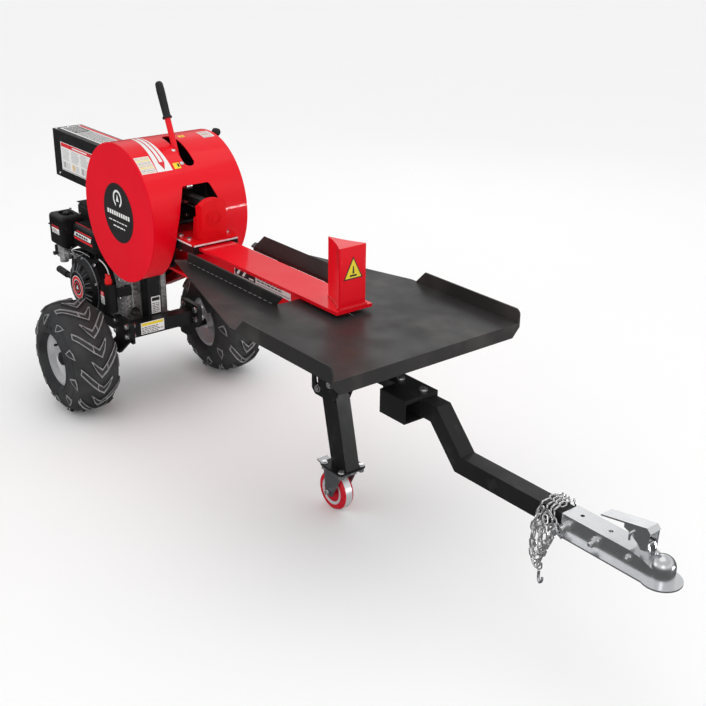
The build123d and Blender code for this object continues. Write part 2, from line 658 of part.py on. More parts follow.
def leg_bracket():
    """Two plates under the beam that the leg folds between, each with an arc slot for the lock bolt."""
    low = BEAM_TOP - BEAM_SIZE
    reach = math.hypot(LEG_LOCK[0] - LEG_PIVOT[0], LEG_LOCK[1] - LEG_PIVOT[1])
    first = math.degrees(math.atan2(LEG_LOCK[1] - LEG_PIVOT[1], LEG_LOCK[0] - LEG_PIVOT[0]))
    shape = outline([(1046, low), (1046, 385), (1062, 370), (1152, 370), (1166, 400), (1212, 480), (1212, low)], 5)
    slot = Polygon(
        LEG_PIVOT,
        polar(2 * reach, first, *LEG_PIVOT),
        polar(2 * reach, first - LEG_FOLD / 2, *LEG_PIVOT),
        polar(2 * reach, first - LEG_FOLD, *LEG_PIVOT),
        align=None,
    )
    slot = slot & (Pos(*LEG_PIVOT) * (Circle(reach + 6.3) - Circle(reach - 6.3)))
    for turn in (0, LEG_FOLD):
        slot += Pos(*polar(reach, first - turn, *LEG_PIVOT)) * Circle(6.3)
    plate = along_y(shape - slot, (25.3, 31.3))
    return both_sides(drill(plate, [(LEG_PIVOT[0], 20, LEG_PIVOT[1])], (0, 1, 0), 20, 6.05))


def leg_lock_bolt():
    """The bolt that moves with the leg along the bracket's arc slots and locks it."""
    return bolt((LEG_LOCK[0], -31.6, LEG_LOCK[1]), (0, 1, 0), 63.2)


def caster_top():
    """The caster's mounting plate and its fixed race."""
    plate = Pos(CASTER_X + 1.5, 0) * Rectangle(100, 92)
    plate = along_z(fillet(plate.vertices(), 10), (150, 155))
    race = rod(26, (CASTER_X, 0, 143), (CASTER_X, 0, 150)) + rod(8, (CASTER_X, 0, 128), (CASTER_X, 0, 150))
    return drill(plate + race, spread((CASTER_X - 40, CASTER_X + 43), (-38, 38), (156,)), (0, 0, -1), 20, 5.2)


def caster_fork():
    """The swivelling fork with its wheel axle, trailing behind the swivel."""
    wheel_x = CASTER_X - CASTER_TRAIL
    crown = outline([(CASTER_X - 42, 128), (CASTER_X - 42, 137), (CASTER_X + 34, 137), (CASTER_X + 30, 129)], 2)
    fork = along_y(crown, (-30, 30)) + rod(34, (CASTER_X, 0, 136), (CASTER_X, 0, 142.6))
    fork -= rod(8.1, (CASTER_X, 0, 120), (CASTER_X, 0, 150))
    tip = [(CASTER_X + 20, 114), (wheel_x + 14, 49), (wheel_x - 14, 49)]
    cheek = outline([(wheel_x - 28, 137), (CASTER_X + 30, 137), *tip], 5)
    washer = rod(11, (wheel_x, 30, CASTER_R), (wheel_x, 34, CASTER_R))
    for piece in both_sides(along_y(cheek, (26, 30))) + both_sides(washer):
        fork += piece
    axle = rod(6, (wheel_x, -36, CASTER_R), (wheel_x, 36, CASTER_R))
    fork -= block((wheel_x - 60, wheel_x + 24), (-25.9, 25.9), (110, 128.2))
    return fork + axle


def caster_wheel():
    """The caster's wheel, a moulded tread with rounded shoulders on a dished core."""
    half = 21.0
    shoulder = CASTER_R - 5
    profile = [
        (6.05, -25.5),
        (13, -25.5),
        (14, -12),
        (34, -12),
        (38, -18),
        (shoulder - 4, -half),
        (shoulder + 1, -half + 2),
        (CASTER_R, -half + 9),
        (CASTER_R, half - 9),
        (shoulder + 1, half - 2),
        (shoulder - 4, half),
        (38, 18),
        (34, 12),
        (14, 12),
        (13, 25.5),
        (6.05, 25.5),
    ]
    return turned(profile, CASTER_X - CASTER_TRAIL, CASTER_R)


def caster_brake():
    """The foot brake pedal at the back of the fork."""
    hinge = (CASTER_X - 50, 130)
    pedal = outline([(1056, 138), (1056, 142), (1098, 133), (hinge[0], 133), (hinge[0], 126), (1096, 128)])
    return along_y(pedal, (-20, 20)) + rod(4, (hinge[0], -25.6, hinge[1]), (hinge[0], 25.6, hinge[1]))


def caster_bolts():
    """Four bolts through the leg's foot and the caster plate."""
    return [bolt(place, (0, 0, -1), 11.2, 10) for place in CASTER_BOLTS]


# ------------------------------------------------------------------ axle and wheels
def axle_beam():
    """The cross tube with its end flanges, the post that carries the beam, and the post's head plate."""
    tube = block((38, 88), (-139, 139), (250, 300)) - block((42, 84), (-140, 140), (254, 296))
    low = BEAM_TOP - BEAM_SIZE
    post = block((-12, 38), (-25, 25), (DECK_TOP, low - 8)) - block((-8, 34), (-21, 21), (DECK_TOP - 1, low - 12))
    head = block((-17, 43), (-60, 60), (low - 8, low))
    frame = tube + post + head
    flange = along_y(outline([(5, 240), (122, 240), (122, 325), (5, 325)], 8), (131, 139))
    for piece in both_sides(flange):
        frame += piece
    frame = drill(frame, spread((20, 106), (130, -140), (270, 308)), (0, 1, 0), 10, 6.2)
    return drill(frame, POST_BOLTS, (0, 0, 1), 20, 5.5)


def stub_axles():
    """The two bolted carrier plates, each with its stub axle."""
    shape = outline([(5, 240), (5, 325), (122, 325), (122, 262), (24, 178), (-24, 178), (-28, 215)], 8)
    carrier = along_y(shape, (139, 149))
    carrier = drill(carrier, spread((20, 106), (138,), (270, 308)), (0, 1, 0), 12, 6.2)
    collar = rod(24, (0, 149, TYRE_R), (0, 160, TYRE_R))
    stub = rod(STUB_R, (0, 149, TYRE_R), (0, 366, TYRE_R))
    return both_sides(carrier + collar + stub)


def rim(side):
    """A pressed steel rim with its hub tube and bearings, and a black hub cap's seat."""
    outer, inner = WHEEL_Y + 69, WHEEL_Y - 69
    dish = [(STUB_R + 0.05, inner - 2), (24, inner - 2), (24, WHEEL_Y + 2), (52, WHEEL_Y + 10), (71, WHEEL_Y + 24)]
    well = [(71, inner + 42), (RIM_R - 8, inner + 22), (RIM_R - 4, inner), (RIM_R + 11, inner), (RIM_R + 11, inner + 3)]
    seat = [(RIM_R, inner + 4), (RIM_R - 3, inner + 22), (75, inner + 44), (75, outer - 44), (RIM_R - 3, outer - 22)]
    lip = [(RIM_R, outer - 4), (RIM_R + 11, outer - 3), (RIM_R + 11, outer), (RIM_R - 4, outer), (RIM_R - 8, outer - 22)]
    face = [(71, outer - 42), (71, WHEEL_Y + 30), (52, WHEEL_Y + 16), (24, WHEEL_Y + 8)]
    front = face + [(24, WHEEL_Y + 20), (STUB_R + 0.05, WHEEL_Y + 20)]
    solid = turned(dish + well + seat + lip + front, 0, TYRE_R)
    return solid if side > 0 else mirror(solid, Plane.XZ)


def tyre(side):
    """A hollow low-pressure tyre with round shoulders, seated on its rim."""
    half = TYRE_W / 2
    bead = 61.0
    outer = [
        (RIM_R + 0.5, WHEEL_Y - bead),
        (RIM_R + 14, WHEEL_Y - bead - 2),
        (RIM_R + 36, WHEEL_Y - half + 5),
        (RIM_R + 66, WHEEL_Y - half),
        (TYRE_R - 20, WHEEL_Y - half + 4),
        (TYRE_R - 7, WHEEL_Y - half + 18),
        (TYRE_R - 1, WHEEL_Y - half + 44),
        (TYRE_R, WHEEL_Y),
    ]
    inner = [(radius - 9, min(y + 11, WHEEL_Y)) for radius, y in outer[2:]]
    start = [(RIM_R + 0.5, WHEEL_Y - bead + 12)]
    side_a = outer + [(radius, 2 * WHEEL_Y - y) for radius, y in reversed(outer[:-1])]
    side_b = start + [(RIM_R + 22, inner[0][1] + 3)] + inner[1:]
    back = side_b + [(radius, 2 * WHEEL_Y - y) for radius, y in reversed(side_b[:-1])]
    solid = turned(side_a + list(reversed(back)), 0, TYRE_R)
    return solid if side > 0 else mirror(solid, Plane.XZ)


# ------------------------------------------------------------------ engine
def engine_deck():
    """The folded plate behind the axle that carries the engine."""
    deck = block((-330, 38), (-105, 105), (DECK_TOP - 6, DECK_TOP))
    for side in both_sides(block((-330, 38), (99, 105), (DECK_TOP - 40, DECK_TOP))):
        deck += side
    return drill(deck, spread((-275, -13), (-70, 70), (DECK_TOP + 1,)), (0, 0, -1), 10, 4.3)


def crankcase():
    """The cast crankcase with feet, a crankshaft boss and cooling ribs on the end that faces the drum."""
    case = soft_block((-262, -26), (-92, 92), (270, 452), 12)
    feet = block((-288, 0), (-92, 92), (DECK_TOP, 272)) - block((-14, 1), (-27, 27), (DECK_TOP - 1, 273))
    boss = rod(44, (CRANK_X, 90, CRANK_Z), (CRANK_X, 108, CRANK_Z))
    case += feet + boss
    for z in range(292, 440, 18):
        case += block((-28, -20), (-78, 78), (z, z + 6))
    return drill(case, ENGINE_BOLTS, (0, 0, -1), 12, 4.3)


def cylinder():
    """The inclined cylinder and head, with its fins."""
    tilt = Pos(-262, 0, 420) * Rot(0, -62, 0)
    core = tilt * extrude(Rectangle(86, 96), 96)
    core -= block((-262, 0), (-100, 100), (200, 500))
    fins = core
    for step in range(7):
        fin = tilt * (Pos(0, 0, 14 + 11 * step) * extrude(fillet(Rectangle(104, 124).vertices(), 8), 4))
        fins += fin - block((-262, 0), (-100, 100), (200, 500))
    return fins - block((-446, -200), (-100, 100), (494, 600))


def blower_housing():
    """The fan's scroll, from the flywheel fan up to the cylinder."""
    scroll = rod(112, (CRANK_X, -150, CRANK_Z), (CRANK_X, -92.3, CRANK_Z))
    duct = outline([(CRANK_X - 112, CRANK_Z - 20), (-318, 430), (-300, 492), (-130, 496), (-130, 400)])
    scroll += along_y(duct, (-150, -92.3))
    return scroll - block((-400, 100), (-160, -80), (200, DECK_TOP + 2))


def recoil_starter():
    """The round recoil cover with its stepped, louvred face."""
    cover = turned([(0, -150), (112, -150), (108, -166), (92, -178), (60, -192), (0, -194)], CRANK_X, CRANK_Z)
    for louvre in range(10):
        angle = math.radians(36 * louvre)
        slot = Pos(CRANK_X, -150, CRANK_Z) * Rot(0, 36 * louvre, 0) * (Pos(80, 0, 0) * Box(22, 100, 7))
        cover -= slot - block((-400, 200), (-168, -100), (200, 600))
    guide = rod(9, (CRANK_X - 96, -166, 388), (CRANK_X - 118, -166, 388))
    return cover + guide


def recoil_grip():
    """The starter's pull grip, parked against its guide."""
    grip = rod(9, (CRANK_X - 118.4, -166, 388), (CRANK_X - 140, -166, 389))
    return grip + rod(13, (CRANK_X - 140, -166, 389), (CRANK_X - 212, -166, 392))


def fuel_tank():
    """The fuel tank over the crankcase with a seam flange."""
    tank = soft_block((-278, -98), (-155, 55), (514, 604), 16)
    seam = along_z(Pos(-188, -50) * fillet(Rectangle(188, 218).vertices(), 18), (530, 534))
    neck = rod(18, (-188, -50, 600), (-188, -50, 610))
    for x in (-250, -160):
        tank += block((x, x + 18), (-130, -100), (496.5, 520))
    return tank + seam + neck


def fuel_cap():
    """The screw cap on the tank's neck."""
    cap = extrude(RegularPolygon(26, 16), 16)
    return Pos(-188, -50, 610.3) * cap


def air_cleaner():
    """The air filter housing with a recessed top."""
    housing = soft_block((-402, -284), (-190, -96), (502, 622), 14)
    recess = along_z(Pos(-343, -143) * fillet(Rectangle(70, 46).vertices(), 18), (614, 630))
    return housing - recess


def muffler():
    """The boxed exhaust silencer behind the air filter."""
    box = soft_block((-398, -288), (-72, 72), (502, 640), 14)
    hollow = soft_block((-394, -292), (-68, 68), (506, 636), 10)
    outlet = rod(12, (-398, 30, 600), (-422, 30, 600))
    return box - hollow + outlet


def carburettor():
    """The carburettor under the air filter with its float bowl and inlet neck."""
    body = block((-372, -304), (-180, -152), (454, 501))
    bowl = rod(16, (-338, -168, 439), (-338, -168, 454))
    neck = rod(12, (-304, -165, 482), (-286, -165, 482))
    return body + bowl + neck


def throttle_lever():
    """The throttle lever on top of the fan's scroll."""
    pivot = (-200, -140)
    hub = rod(9, (pivot[0], pivot[1], 496.4), (pivot[0], pivot[1], 501))
    arm = block((-204, -196), (-186, -132), (497, 500.5))
    return hub + arm + rod(6, (-200, -186, 490), (-200, -186, 506))


def switch_box():
    """The round-cornered switch box beside the starter, with a bracket to the crankcase."""
    shape = Pos(7, -163) * fillet(Rectangle(46, 52).vertices(), 18)
    box = along_z(shape, (339, 446))
    return box + block((-19.9, 10), (-90, -74), (385, 415)) + block((-10, 10), (-140, -74), (385, 415))


def engine_switch():
    """The red rotary engine switch on the switch box."""
    knob = rod(13, (8, -163, 446.3), (8, -163, 464))
    return knob + block((-5, 21), (-167, -159), (464, 480))


def frame_bolts():
    """The hex bolts that hold the frame, bearings, hitch and engine, and the lever's and the leg's pivots."""
    bolts = []
    for x, y, z in AXLE_BOLTS:
        bolts.append(bolt((x, y - 8, z), (0, 1, 0), 18))
        bolts.append(bolt((x, 8 - y, z), (0, -1, 0), 18))
    for x, y, z in BEARING_BOLTS:
        bolts.append(bolt((x, 83.5, z), (0, -1, 0), 20, 10))
        bolts.append(bolt((x, -83.5, z), (0, 1, 0), 20, 10))
    bolts += [bolt(place, (0, 0, -1), 69) for place in RECEIVER_BOLTS]
    bolts += [bolt((x, -29.7, z), (0, 1, 0), 59.4) for x, _, z in COUPLER_BOLTS]
    bolts += [bolt((x, y, 547.4), (0, 0, 1), 18.2, 10) for x, y, _ in POST_BOLTS]
    bolts += [bolt(place, (0, 0, -1), 14, 8) for place in ENGINE_BOLTS]
    bolts.append(bolt((LEG_PIVOT[0], -31.4, LEG_PIVOT[1]), (0, 1, 0), 62.8))
    bolts.append(bolt((LEVER_PIVOT[0], -71.6, LEVER_PIVOT[1]), (0, 1, 0), 143.2, 16))
    return bolts


# ------------------------------------------------------------------ write every part
PARTS = {
    "main_beam": main_beam,
    "wedge": wedge,
    "bearing_frame": bearing_frame,
    "shaft_bearings": shaft_bearings,
    "flywheel_shaft": flywheel_shaft,
    "flywheels": flywheels,
    "pinion": pinion,
    "driven_pulley": driven_pulley,
    "engine_pulley": engine_pulley,
    "drive_belt": drive_belt,
    "drum_disc": drum_disc,
    "belt_guard": belt_guard,
    "drum_skin": drum_skin,
    "rack_cover": rack_cover,
    "ram_rack": ram_rack,
    "ram_block": ram_block,
    "ram_base_plate": ram_base_plate,
    "ram_keepers": ram_keepers,
    "ram_bolts": ram_bolts,
    "return_springs": return_springs,
    "engage_lever": engage_lever,
    "press_roller": press_roller,
    "lever_grip": lever_grip,
    "table": table,
    "table_supports": table_supports,
    "hitch_receiver": hitch_receiver,
    "tow_bar": tow_bar,
    "coupler_body": coupler_body,
    "coupler_latch": coupler_latch,
    "latch_pin": latch_pin,
    "safety_chain": safety_chain,
    "leg": leg,
    "leg_bracket": leg_bracket,
    "leg_lock_bolt": leg_lock_bolt,
    "caster_top": caster_top,
    "caster_fork": caster_fork,
    "caster_wheel": caster_wheel,
    "caster_brake": caster_brake,
    "caster_bolts": caster_bolts,
    "axle_beam": axle_beam,
    "stub_axles": stub_axles,
    "rim_near": lambda: rim(-1),
    "rim_far": lambda: rim(1),
    "tyre_near": lambda: tyre(-1),
    "tyre_far": lambda: tyre(1),
    "engine_deck": engine_deck,
    "crankcase": crankcase,
    "cylinder": cylinder,
    "blower_housing": blower_housing,
    "recoil_starter": recoil_starter,
    "recoil_grip": recoil_grip,
    "fuel_tank": fuel_tank,
    "fuel_cap": fuel_cap,
    "air_cleaner": air_cleaner,
    "muffler": muffler,
    "carburettor": carburettor,
    "throttle_lever": throttle_lever,
    "switch_box": switch_box,
    "engine_switch": engine_switch,
    "frame_bolts": frame_bolts,
}


def main():
    """Builds each part, moves it to the finished origin and writes it."""
    os.makedirs("parts", exist_ok=True)
    for name, make in PARTS.items():
        made = make()
        solids = made if isinstance(made, list) else [made]
        placed = [Pos(-MIDDLE_X, 0, 0) * solid for solid in solids]
        shape = placed[0] if len(placed) == 1 else Compound(children=placed)
        export_step(shape, f"parts/{name}.step")


if __name__ == "__main__":
    main()
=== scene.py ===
import math
import random

import bmesh
import bpy
from mathutils import Matrix, Vector


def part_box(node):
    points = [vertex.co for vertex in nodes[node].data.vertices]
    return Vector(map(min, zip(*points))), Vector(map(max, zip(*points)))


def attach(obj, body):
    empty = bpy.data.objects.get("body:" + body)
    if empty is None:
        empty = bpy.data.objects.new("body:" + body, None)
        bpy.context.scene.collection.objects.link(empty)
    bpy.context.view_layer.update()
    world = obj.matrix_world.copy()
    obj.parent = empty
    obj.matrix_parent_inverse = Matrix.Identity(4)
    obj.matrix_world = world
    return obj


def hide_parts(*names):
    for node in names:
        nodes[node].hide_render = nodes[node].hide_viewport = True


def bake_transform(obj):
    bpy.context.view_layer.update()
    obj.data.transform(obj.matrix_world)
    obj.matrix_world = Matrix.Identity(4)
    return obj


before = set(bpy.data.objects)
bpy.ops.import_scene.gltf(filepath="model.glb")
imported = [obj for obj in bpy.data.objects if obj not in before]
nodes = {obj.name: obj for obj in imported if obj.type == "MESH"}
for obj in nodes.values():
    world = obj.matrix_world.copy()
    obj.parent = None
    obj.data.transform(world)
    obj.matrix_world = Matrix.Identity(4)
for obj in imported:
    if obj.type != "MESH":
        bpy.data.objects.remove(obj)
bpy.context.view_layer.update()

# Lengths are in metres. Positions are written from the wheel axle, as the CAD has them, and at() moves
# them to the row frame.
AXLE = -0.8875
DRUM = (0.161, 0.745)
DRUM_R = 0.237
CRANK = (-0.185, 0.384)
CASTER = (1.130, 0.063)
SHARP = math.radians(32)
BEVEL_ANGLE = math.radians(40)


def at(x, y, z):
    return Vector((x + AXLE, y, z))


def circle(count):
    """Equal turns round a circle, in radians."""
    return [2 * math.pi * k / count for k in range(count)]


def soften_edges(obj, width):
    """Rounds the edges sharper than BEVEL_ANGLE."""
    soften = obj.modifiers.new("edges", "BEVEL")
    soften.width = width
    soften.segments = 2
    soften.limit_method = "ANGLE"
    soften.angle_limit = BEVEL_ANGLE
    soften.harden_normals = True
    soften.use_clamp_overlap = True


# ------------------------------------------------------------------ materials
def material(name, colour, rough, metal=0.0, coat=0.0, vary=0.08, scale=9.0, rough_vary=0.06, bump=0.0,
             grain=260.0,
             stretch=(1, 1, 1), second=None, second_at=(0.55, 0.7), second_scale=22.0, spec=0.3):
    """A procedural surface: drifting colour and roughness, fine grain, and a patchy second colour."""
    mat = bpy.data.materials.new(name)
    mat.use_nodes = True
    tree = mat.node_tree
    new, link = tree.nodes.new, tree.links.new
    shader = tree.nodes["Principled BSDF"]
    coords = new("ShaderNodeTexCoord")
    mapping = new("ShaderNodeMapping")
    mapping.inputs["Scale"].default_value = stretch
    link(coords.outputs["Object"], mapping.inputs["Vector"])

    def noise(size, detail):
        node = new("ShaderNodeTexNoise")
        node.inputs["Scale"].default_value = size
        node.inputs["Detail"].default_value = detail
        link(mapping.outputs["Vector"], node.inputs["Vector"])
        return node.outputs["Fac"]

    def ranged(value, low, high, start=0.3, end=0.7):
        node = new("ShaderNodeMapRange")
        node.inputs["From Min"].default_value = start
        node.inputs["From Max"].default_value = end
        node.inputs["To Min"].default_value = low
        node.inputs["To Max"].default_value = high
        link(value, node.inputs["Value"])
        return node.outputs["Result"]

    def mixed(factor, a, b):
        node = new("ShaderNodeMix")
        node.data_type = "RGBA"
        link(factor, node.inputs["Factor"])
        for socket, value in ((node.inputs["A"], a), (node.inputs["B"], b)):
            if isinstance(value, tuple):
                socket.default_value = (*value, 1)
            else:
                link(value, socket)
        return node.outputs["Result"]

    drift = noise(scale, 5)
    dark = tuple(c * (1 - vary) for c in colour)
    light = tuple(min(1, c * (1 + vary)) for c in colour)
    base = mixed(ranged(drift, 0, 1), dark, light)
    if second:
        patches = noise(second_scale, 8)
        base = mixed(ranged(patches, 0, 1, *second_at), base, second)
    link(base, shader.inputs["Base Color"])
    link(ranged(noise(scale * 3.1, 6), rough - rough_vary, rough + rough_vary), shader.inputs["Roughness"])
    shader.inputs["Metallic"].default_value = metal
    shader.inputs["Specular IOR Level"].default_value = spec
    shader.inputs["Coat Weight"].default_value = coat
    shader.inputs["Coat Roughness"].default_value = 0.06
    if bump:
        relief = new("ShaderNodeBump")
        relief.inputs["Strength"].default_value = 1.0
        relief.inputs["Distance"].default_value = bump
        link(noise(grain, 3), relief.inputs["Height"])
        link(relief.outputs["Normal"], shader.inputs["Normal"])
        link(relief.outputs["Normal"], shader.inputs["Coat Normal"])
    return mat


RED = material("gloss_red", (0.80, 0.002, 0.012), 0.34, coat=0.5, vary=0.05, scale=4, bump=0.00006, grain=420,
               spec=0.12)
DISC_RED = material("disc_red", (0.74, 0.002, 0.016), 0.5, coat=0.05, vary=0.05, scale=4, spec=0.06)
RED_RAM = material("ram_red", (0.72, 0.003, 0.008), 0.4, coat=0.15, vary=0.07, scale=14, bump=0.0002,
                   grain=150, spec=0.12)
BLACK = material("frame_black", (0.012, 0.012, 0.013), 0.36, vary=0.25, scale=8, bump=0.0001, grain=340,
                 second=(0.03, 0.03, 0.031), second_at=(0.6, 0.8))
TABLE = material("table_black", (0.030, 0.028, 0.028), 0.40, vary=0.18, scale=3.5, bump=0.00005, grain=480,
                 second=(0.060, 0.054, 0.050), second_at=(0.52, 0.75), second_scale=7, rough_vary=0.08)
ENGINE = material("engine_plastic", (0.009, 0.009, 0.010), 0.38, vary=0.2, scale=16, bump=0.00022, grain=520)
ALLOY = material("cast_alloy", (0.50, 0.50, 0.50), 0.45, metal=0.55, vary=0.2, scale=30, bump=0.0005,
                 grain=300,
                 second=(0.22, 0.22, 0.22), second_at=(0.5, 0.72), second_scale=35)
EXHAUST = material("exhaust_black", (0.02, 0.02, 0.02), 0.6, vary=0.3, scale=20, bump=0.0003, grain=300)
STEEL = material("machined_steel", (0.50, 0.50, 0.51), 0.3, metal=1, vary=0.12, scale=60, stretch=(1, 8, 1))
BARE = material("bare_edge", (0.92, 0.92, 0.93), 0.3, metal=0.3, vary=0.08, scale=70)
CAST = material("cast_black", (0.03, 0.03, 0.031), 0.6, vary=0.3, scale=20, bump=0.0006, grain=220)
ZINC = material("bright_zinc", (0.86, 0.87, 0.89), 0.24, metal=1, vary=0.04, scale=14, rough_vary=0.04)
BOLT = material("bolt_zinc", (0.90, 0.90, 0.92), 0.22, metal=0.95, vary=0.12, scale=90)
SILVER = material("rim_silver", (0.78, 0.78, 0.80), 0.34, metal=0.5, vary=0.06, scale=12, bump=0.00008,
                  grain=500)
FORK = material("fork_grey", (0.30, 0.31, 0.33), 0.35, metal=0.9, vary=0.12, scale=40)
RUBBER = material("tyre_rubber", (0.036, 0.037, 0.039), 0.62, vary=0.2, scale=14, bump=0.0004, grain=240,
                  second=(0.062, 0.062, 0.063), second_at=(0.5, 0.75), second_scale=9)
RUBBER_EDGE = material("tyre_edge", (0.25, 0.25, 0.255), 0.66, vary=0.25, scale=60, bump=0.0003, grain=300)
GRIP = material("grip_rubber", (0.018, 0.018, 0.019), 0.5, vary=0.2, scale=30, bump=0.0003, grain=420)
BELT = material("belt_rubber", (0.02, 0.02, 0.02), 0.7, vary=0.2, scale=30, bump=0.0004, grain=200)
CASTER_RED = material("caster_red", (0.52, 0.006, 0.02), 0.3, vary=0.12, scale=30, bump=0.0001, grain=300)
SWITCH_RED = material("switch_red", (0.80, 0.012, 0.012), 0.25, coat=0.4, vary=0.05, scale=40)
WHITE = material("label_white", (0.80, 0.80, 0.79), 0.35, vary=0.03, scale=20)
GREY_INK = material("label_grey", (0.42, 0.42, 0.43), 0.4, vary=0.1, scale=60)
BLACK_INK = material("label_black", (0.02, 0.018, 0.02), 0.35, coat=0.2, vary=0.15, scale=20)
RED_INK = material("label_red", (0.72, 0.02, 0.03), 0.35, vary=0.06, scale=30)
YELLOW = material("label_yellow", (0.85, 0.66, 0.03), 0.35, vary=0.05, scale=30)
PALE = material("label_pale", (0.72, 0.52, 0.30), 0.35, vary=0.12, scale=60)
SPRING = material("spring_steel", (0.34, 0.34, 0.35), 0.34, metal=1, vary=0.15, scale=50)
WELD = material("weld_red", (0.66, 0.005, 0.012), 0.42, coat=0.3, vary=0.2, scale=60, bump=0.0006, grain=160)

PAINT = {
    DISC_RED: "drum_disc",
    RED: "wedge drum_skin belt_guard engage_lever main_beam",
    RED_RAM: "ram_block ram_base_plate",
    BLACK: "bearing_frame rack_cover ram_keepers table_supports hitch_receiver tow_bar leg leg_bracket "
           "axle_beam engine_deck stub_axles",
    TABLE: "table",
    CAST: "shaft_bearings flywheels driven_pulley engine_pulley",
    STEEL: "flywheel_shaft pinion ram_rack press_roller",
    BELT: "drive_belt",
    BOLT: "ram_bolts leg_lock_bolt caster_bolts throttle_lever frame_bolts",
    SPRING: "return_springs",
    GRIP: "lever_grip recoil_grip",
    ZINC: "coupler_body coupler_latch latch_pin safety_chain caster_brake",
    FORK: "caster_top caster_fork",
    CASTER_RED: "caster_wheel",
    SILVER: "rim_near rim_far",
    RUBBER: "tyre_near tyre_far",
    ALLOY: "crankcase cylinder carburettor",
    ENGINE: "blower_housing recoil_starter fuel_tank fuel_cap air_cleaner switch_box",
    EXHAUST: "muffler",
    SWITCH_RED: "engine_switch",
}
for paint, names in PAINT.items():
    for name in names.split():
        node = nodes[name]
        node.data.materials.clear()
        node.data.materials.append(paint)
        for face in node.data.polygons:
            face.use_smooth = True
        node.data.set_sharp_from_angle(angle=SHARP)

BEVELS = {
    0.0016: "main_beam wedge table ram_block ram_base_plate tow_bar hitch_receiver leg leg_bracket axle_beam "
            "rack_cover engine_deck bearing_frame coupler_body coupler_latch air_cleaner fuel_tank muffler "
            "switch_box",
    0.0008: "drum_disc belt_guard drum_skin ram_keepers frame_bolts ram_bolts leg_lock_bolt caster_bolts "
            "caster_fork caster_top caster_brake recoil_starter blower_housing crankcase carburettor fuel_cap "
            "engine_switch",
}
for width, names in BEVELS.items():
    for name in names.split():
        soften_edges(nodes[name], width)


# ------------------------------------------------------------------ mesh building
class Shape:
    """Vertices and faces of one piece, with a material number on each face."""

    def __init__(self):
        self.verts, self.faces, self.marks = [], [], []

    def add(self, verts, faces, mark=0):
        start = len(self.verts)
        self.verts += [Vector(v) for v in verts]
        self.faces += [[start + i for i in face] for face in faces]
        self.marks += [mark] * len(faces)

    def grid(self, rows, closed_row=False, closed_column=False, mark=0, caps=False):
        """Quads between rows of points. mark is a number or a function of (row, column)."""
        count, wide = len(rows), len(rows[0])
        start = len(self.verts)
        for row in rows:
            self.verts += [Vector(p) for p in row]
        for i in range(count if closed_column else count - 1):
            for j in range(wide if closed_row else wide - 1):
                a, b = start + i * wide + j, start + i * wide + (j + 1) % wide
                low = start + ((i + 1) % count) * wide
                self.faces.append([a, b, low + (j + 1) % wide, low + j])
                self.marks.append(mark(i, j) if callable(mark) else mark)
        if caps:
            for row, flip in ((0, True), (count - 1, False)):
                loop = [start + row * wide + j for j in range(wide)]
                self.faces.append(loop[::-1] if flip else loop)
                self.marks.append(0 if callable(mark) else mark)

    def tube(self, points, radius, around=10, closed=False, mark=0):
        """A round tube along points, with frames carried along it. radius is a number or one per point."""
        points = [Vector(p) for p in points]
        count = len(points)
        tangents = []
        for i in range(count):
            before = points[(i - 1) % count] if closed or i else points[0]
            after = points[(i + 1) % count] if closed or i < count - 1 else points[-1]
            tangents.append((after - before).normalized())
        side = tangents[0].orthogonal().normalized()
        rows = []
        for i, tangent in enumerate(tangents):
            side = (side - tangent * side.dot(tangent)).normalized()
            up = tangent.cross(side)
            size = radius[i] if isinstance(radius, (list, tuple)) else radius
            rows.append([points[i] + (side * math.cos(a) + up * math.sin(a)) * size
                         for a in circle(around)])
        self.grid(rows, closed_row=True, closed_column=closed, mark=mark, caps=not closed)

    def lathe(self, profile, centre, axis, around=32, mark=0, closed=True):
        """Revolves (radius, along) points about an axis through centre. mark may depend on the step."""
        axis = Vector(axis).normalized()
        side = axis.orthogonal().normalized()
        up = axis.cross(side)
        rows = [[Vector(centre) + axis * along + (side * math.cos(a) + up * math.sin(a)) * max(radius, 1e-6)
                 for a in circle(around)] for radius, along in profile]
        self.grid(rows, closed_row=True, closed_column=closed and len(profile) > 3, mark=mark)

    def block(self, low, high, mark=0, place=None):
        (x0, y0, z0), (x1, y1, z1) = low, high
        corners = [Vector((x, y, z)) for x in (x0, x1) for y in (y0, y1) for z in (z0, z1)]
        if place:
            corners = [place @ c for c in corners]
        quads = [(0, 1, 3, 2), (4, 6, 7, 5), (0, 4, 5, 1), (2, 3, 7, 6), (0, 2, 6, 4), (1, 5, 7, 3)]
        self.add(corners, quads, mark)

    def prism(self, outline, place, depth, mark=0):
        """A flat outline of (u, v) points given depth along w, placed by a matrix."""
        count = len(outline)
        low = [place @ Vector((u, v, 0)) for u, v in outline]
        high = [place @ Vector((u, v, depth)) for u, v in outline]
        sides = [(i, (i + 1) % count, count + (i + 1) % count, count + i) for i in range(count)]
        self.add(low + high, [tuple(range(count))[::-1], tuple(range(count, 2 * count))] + sides, mark)


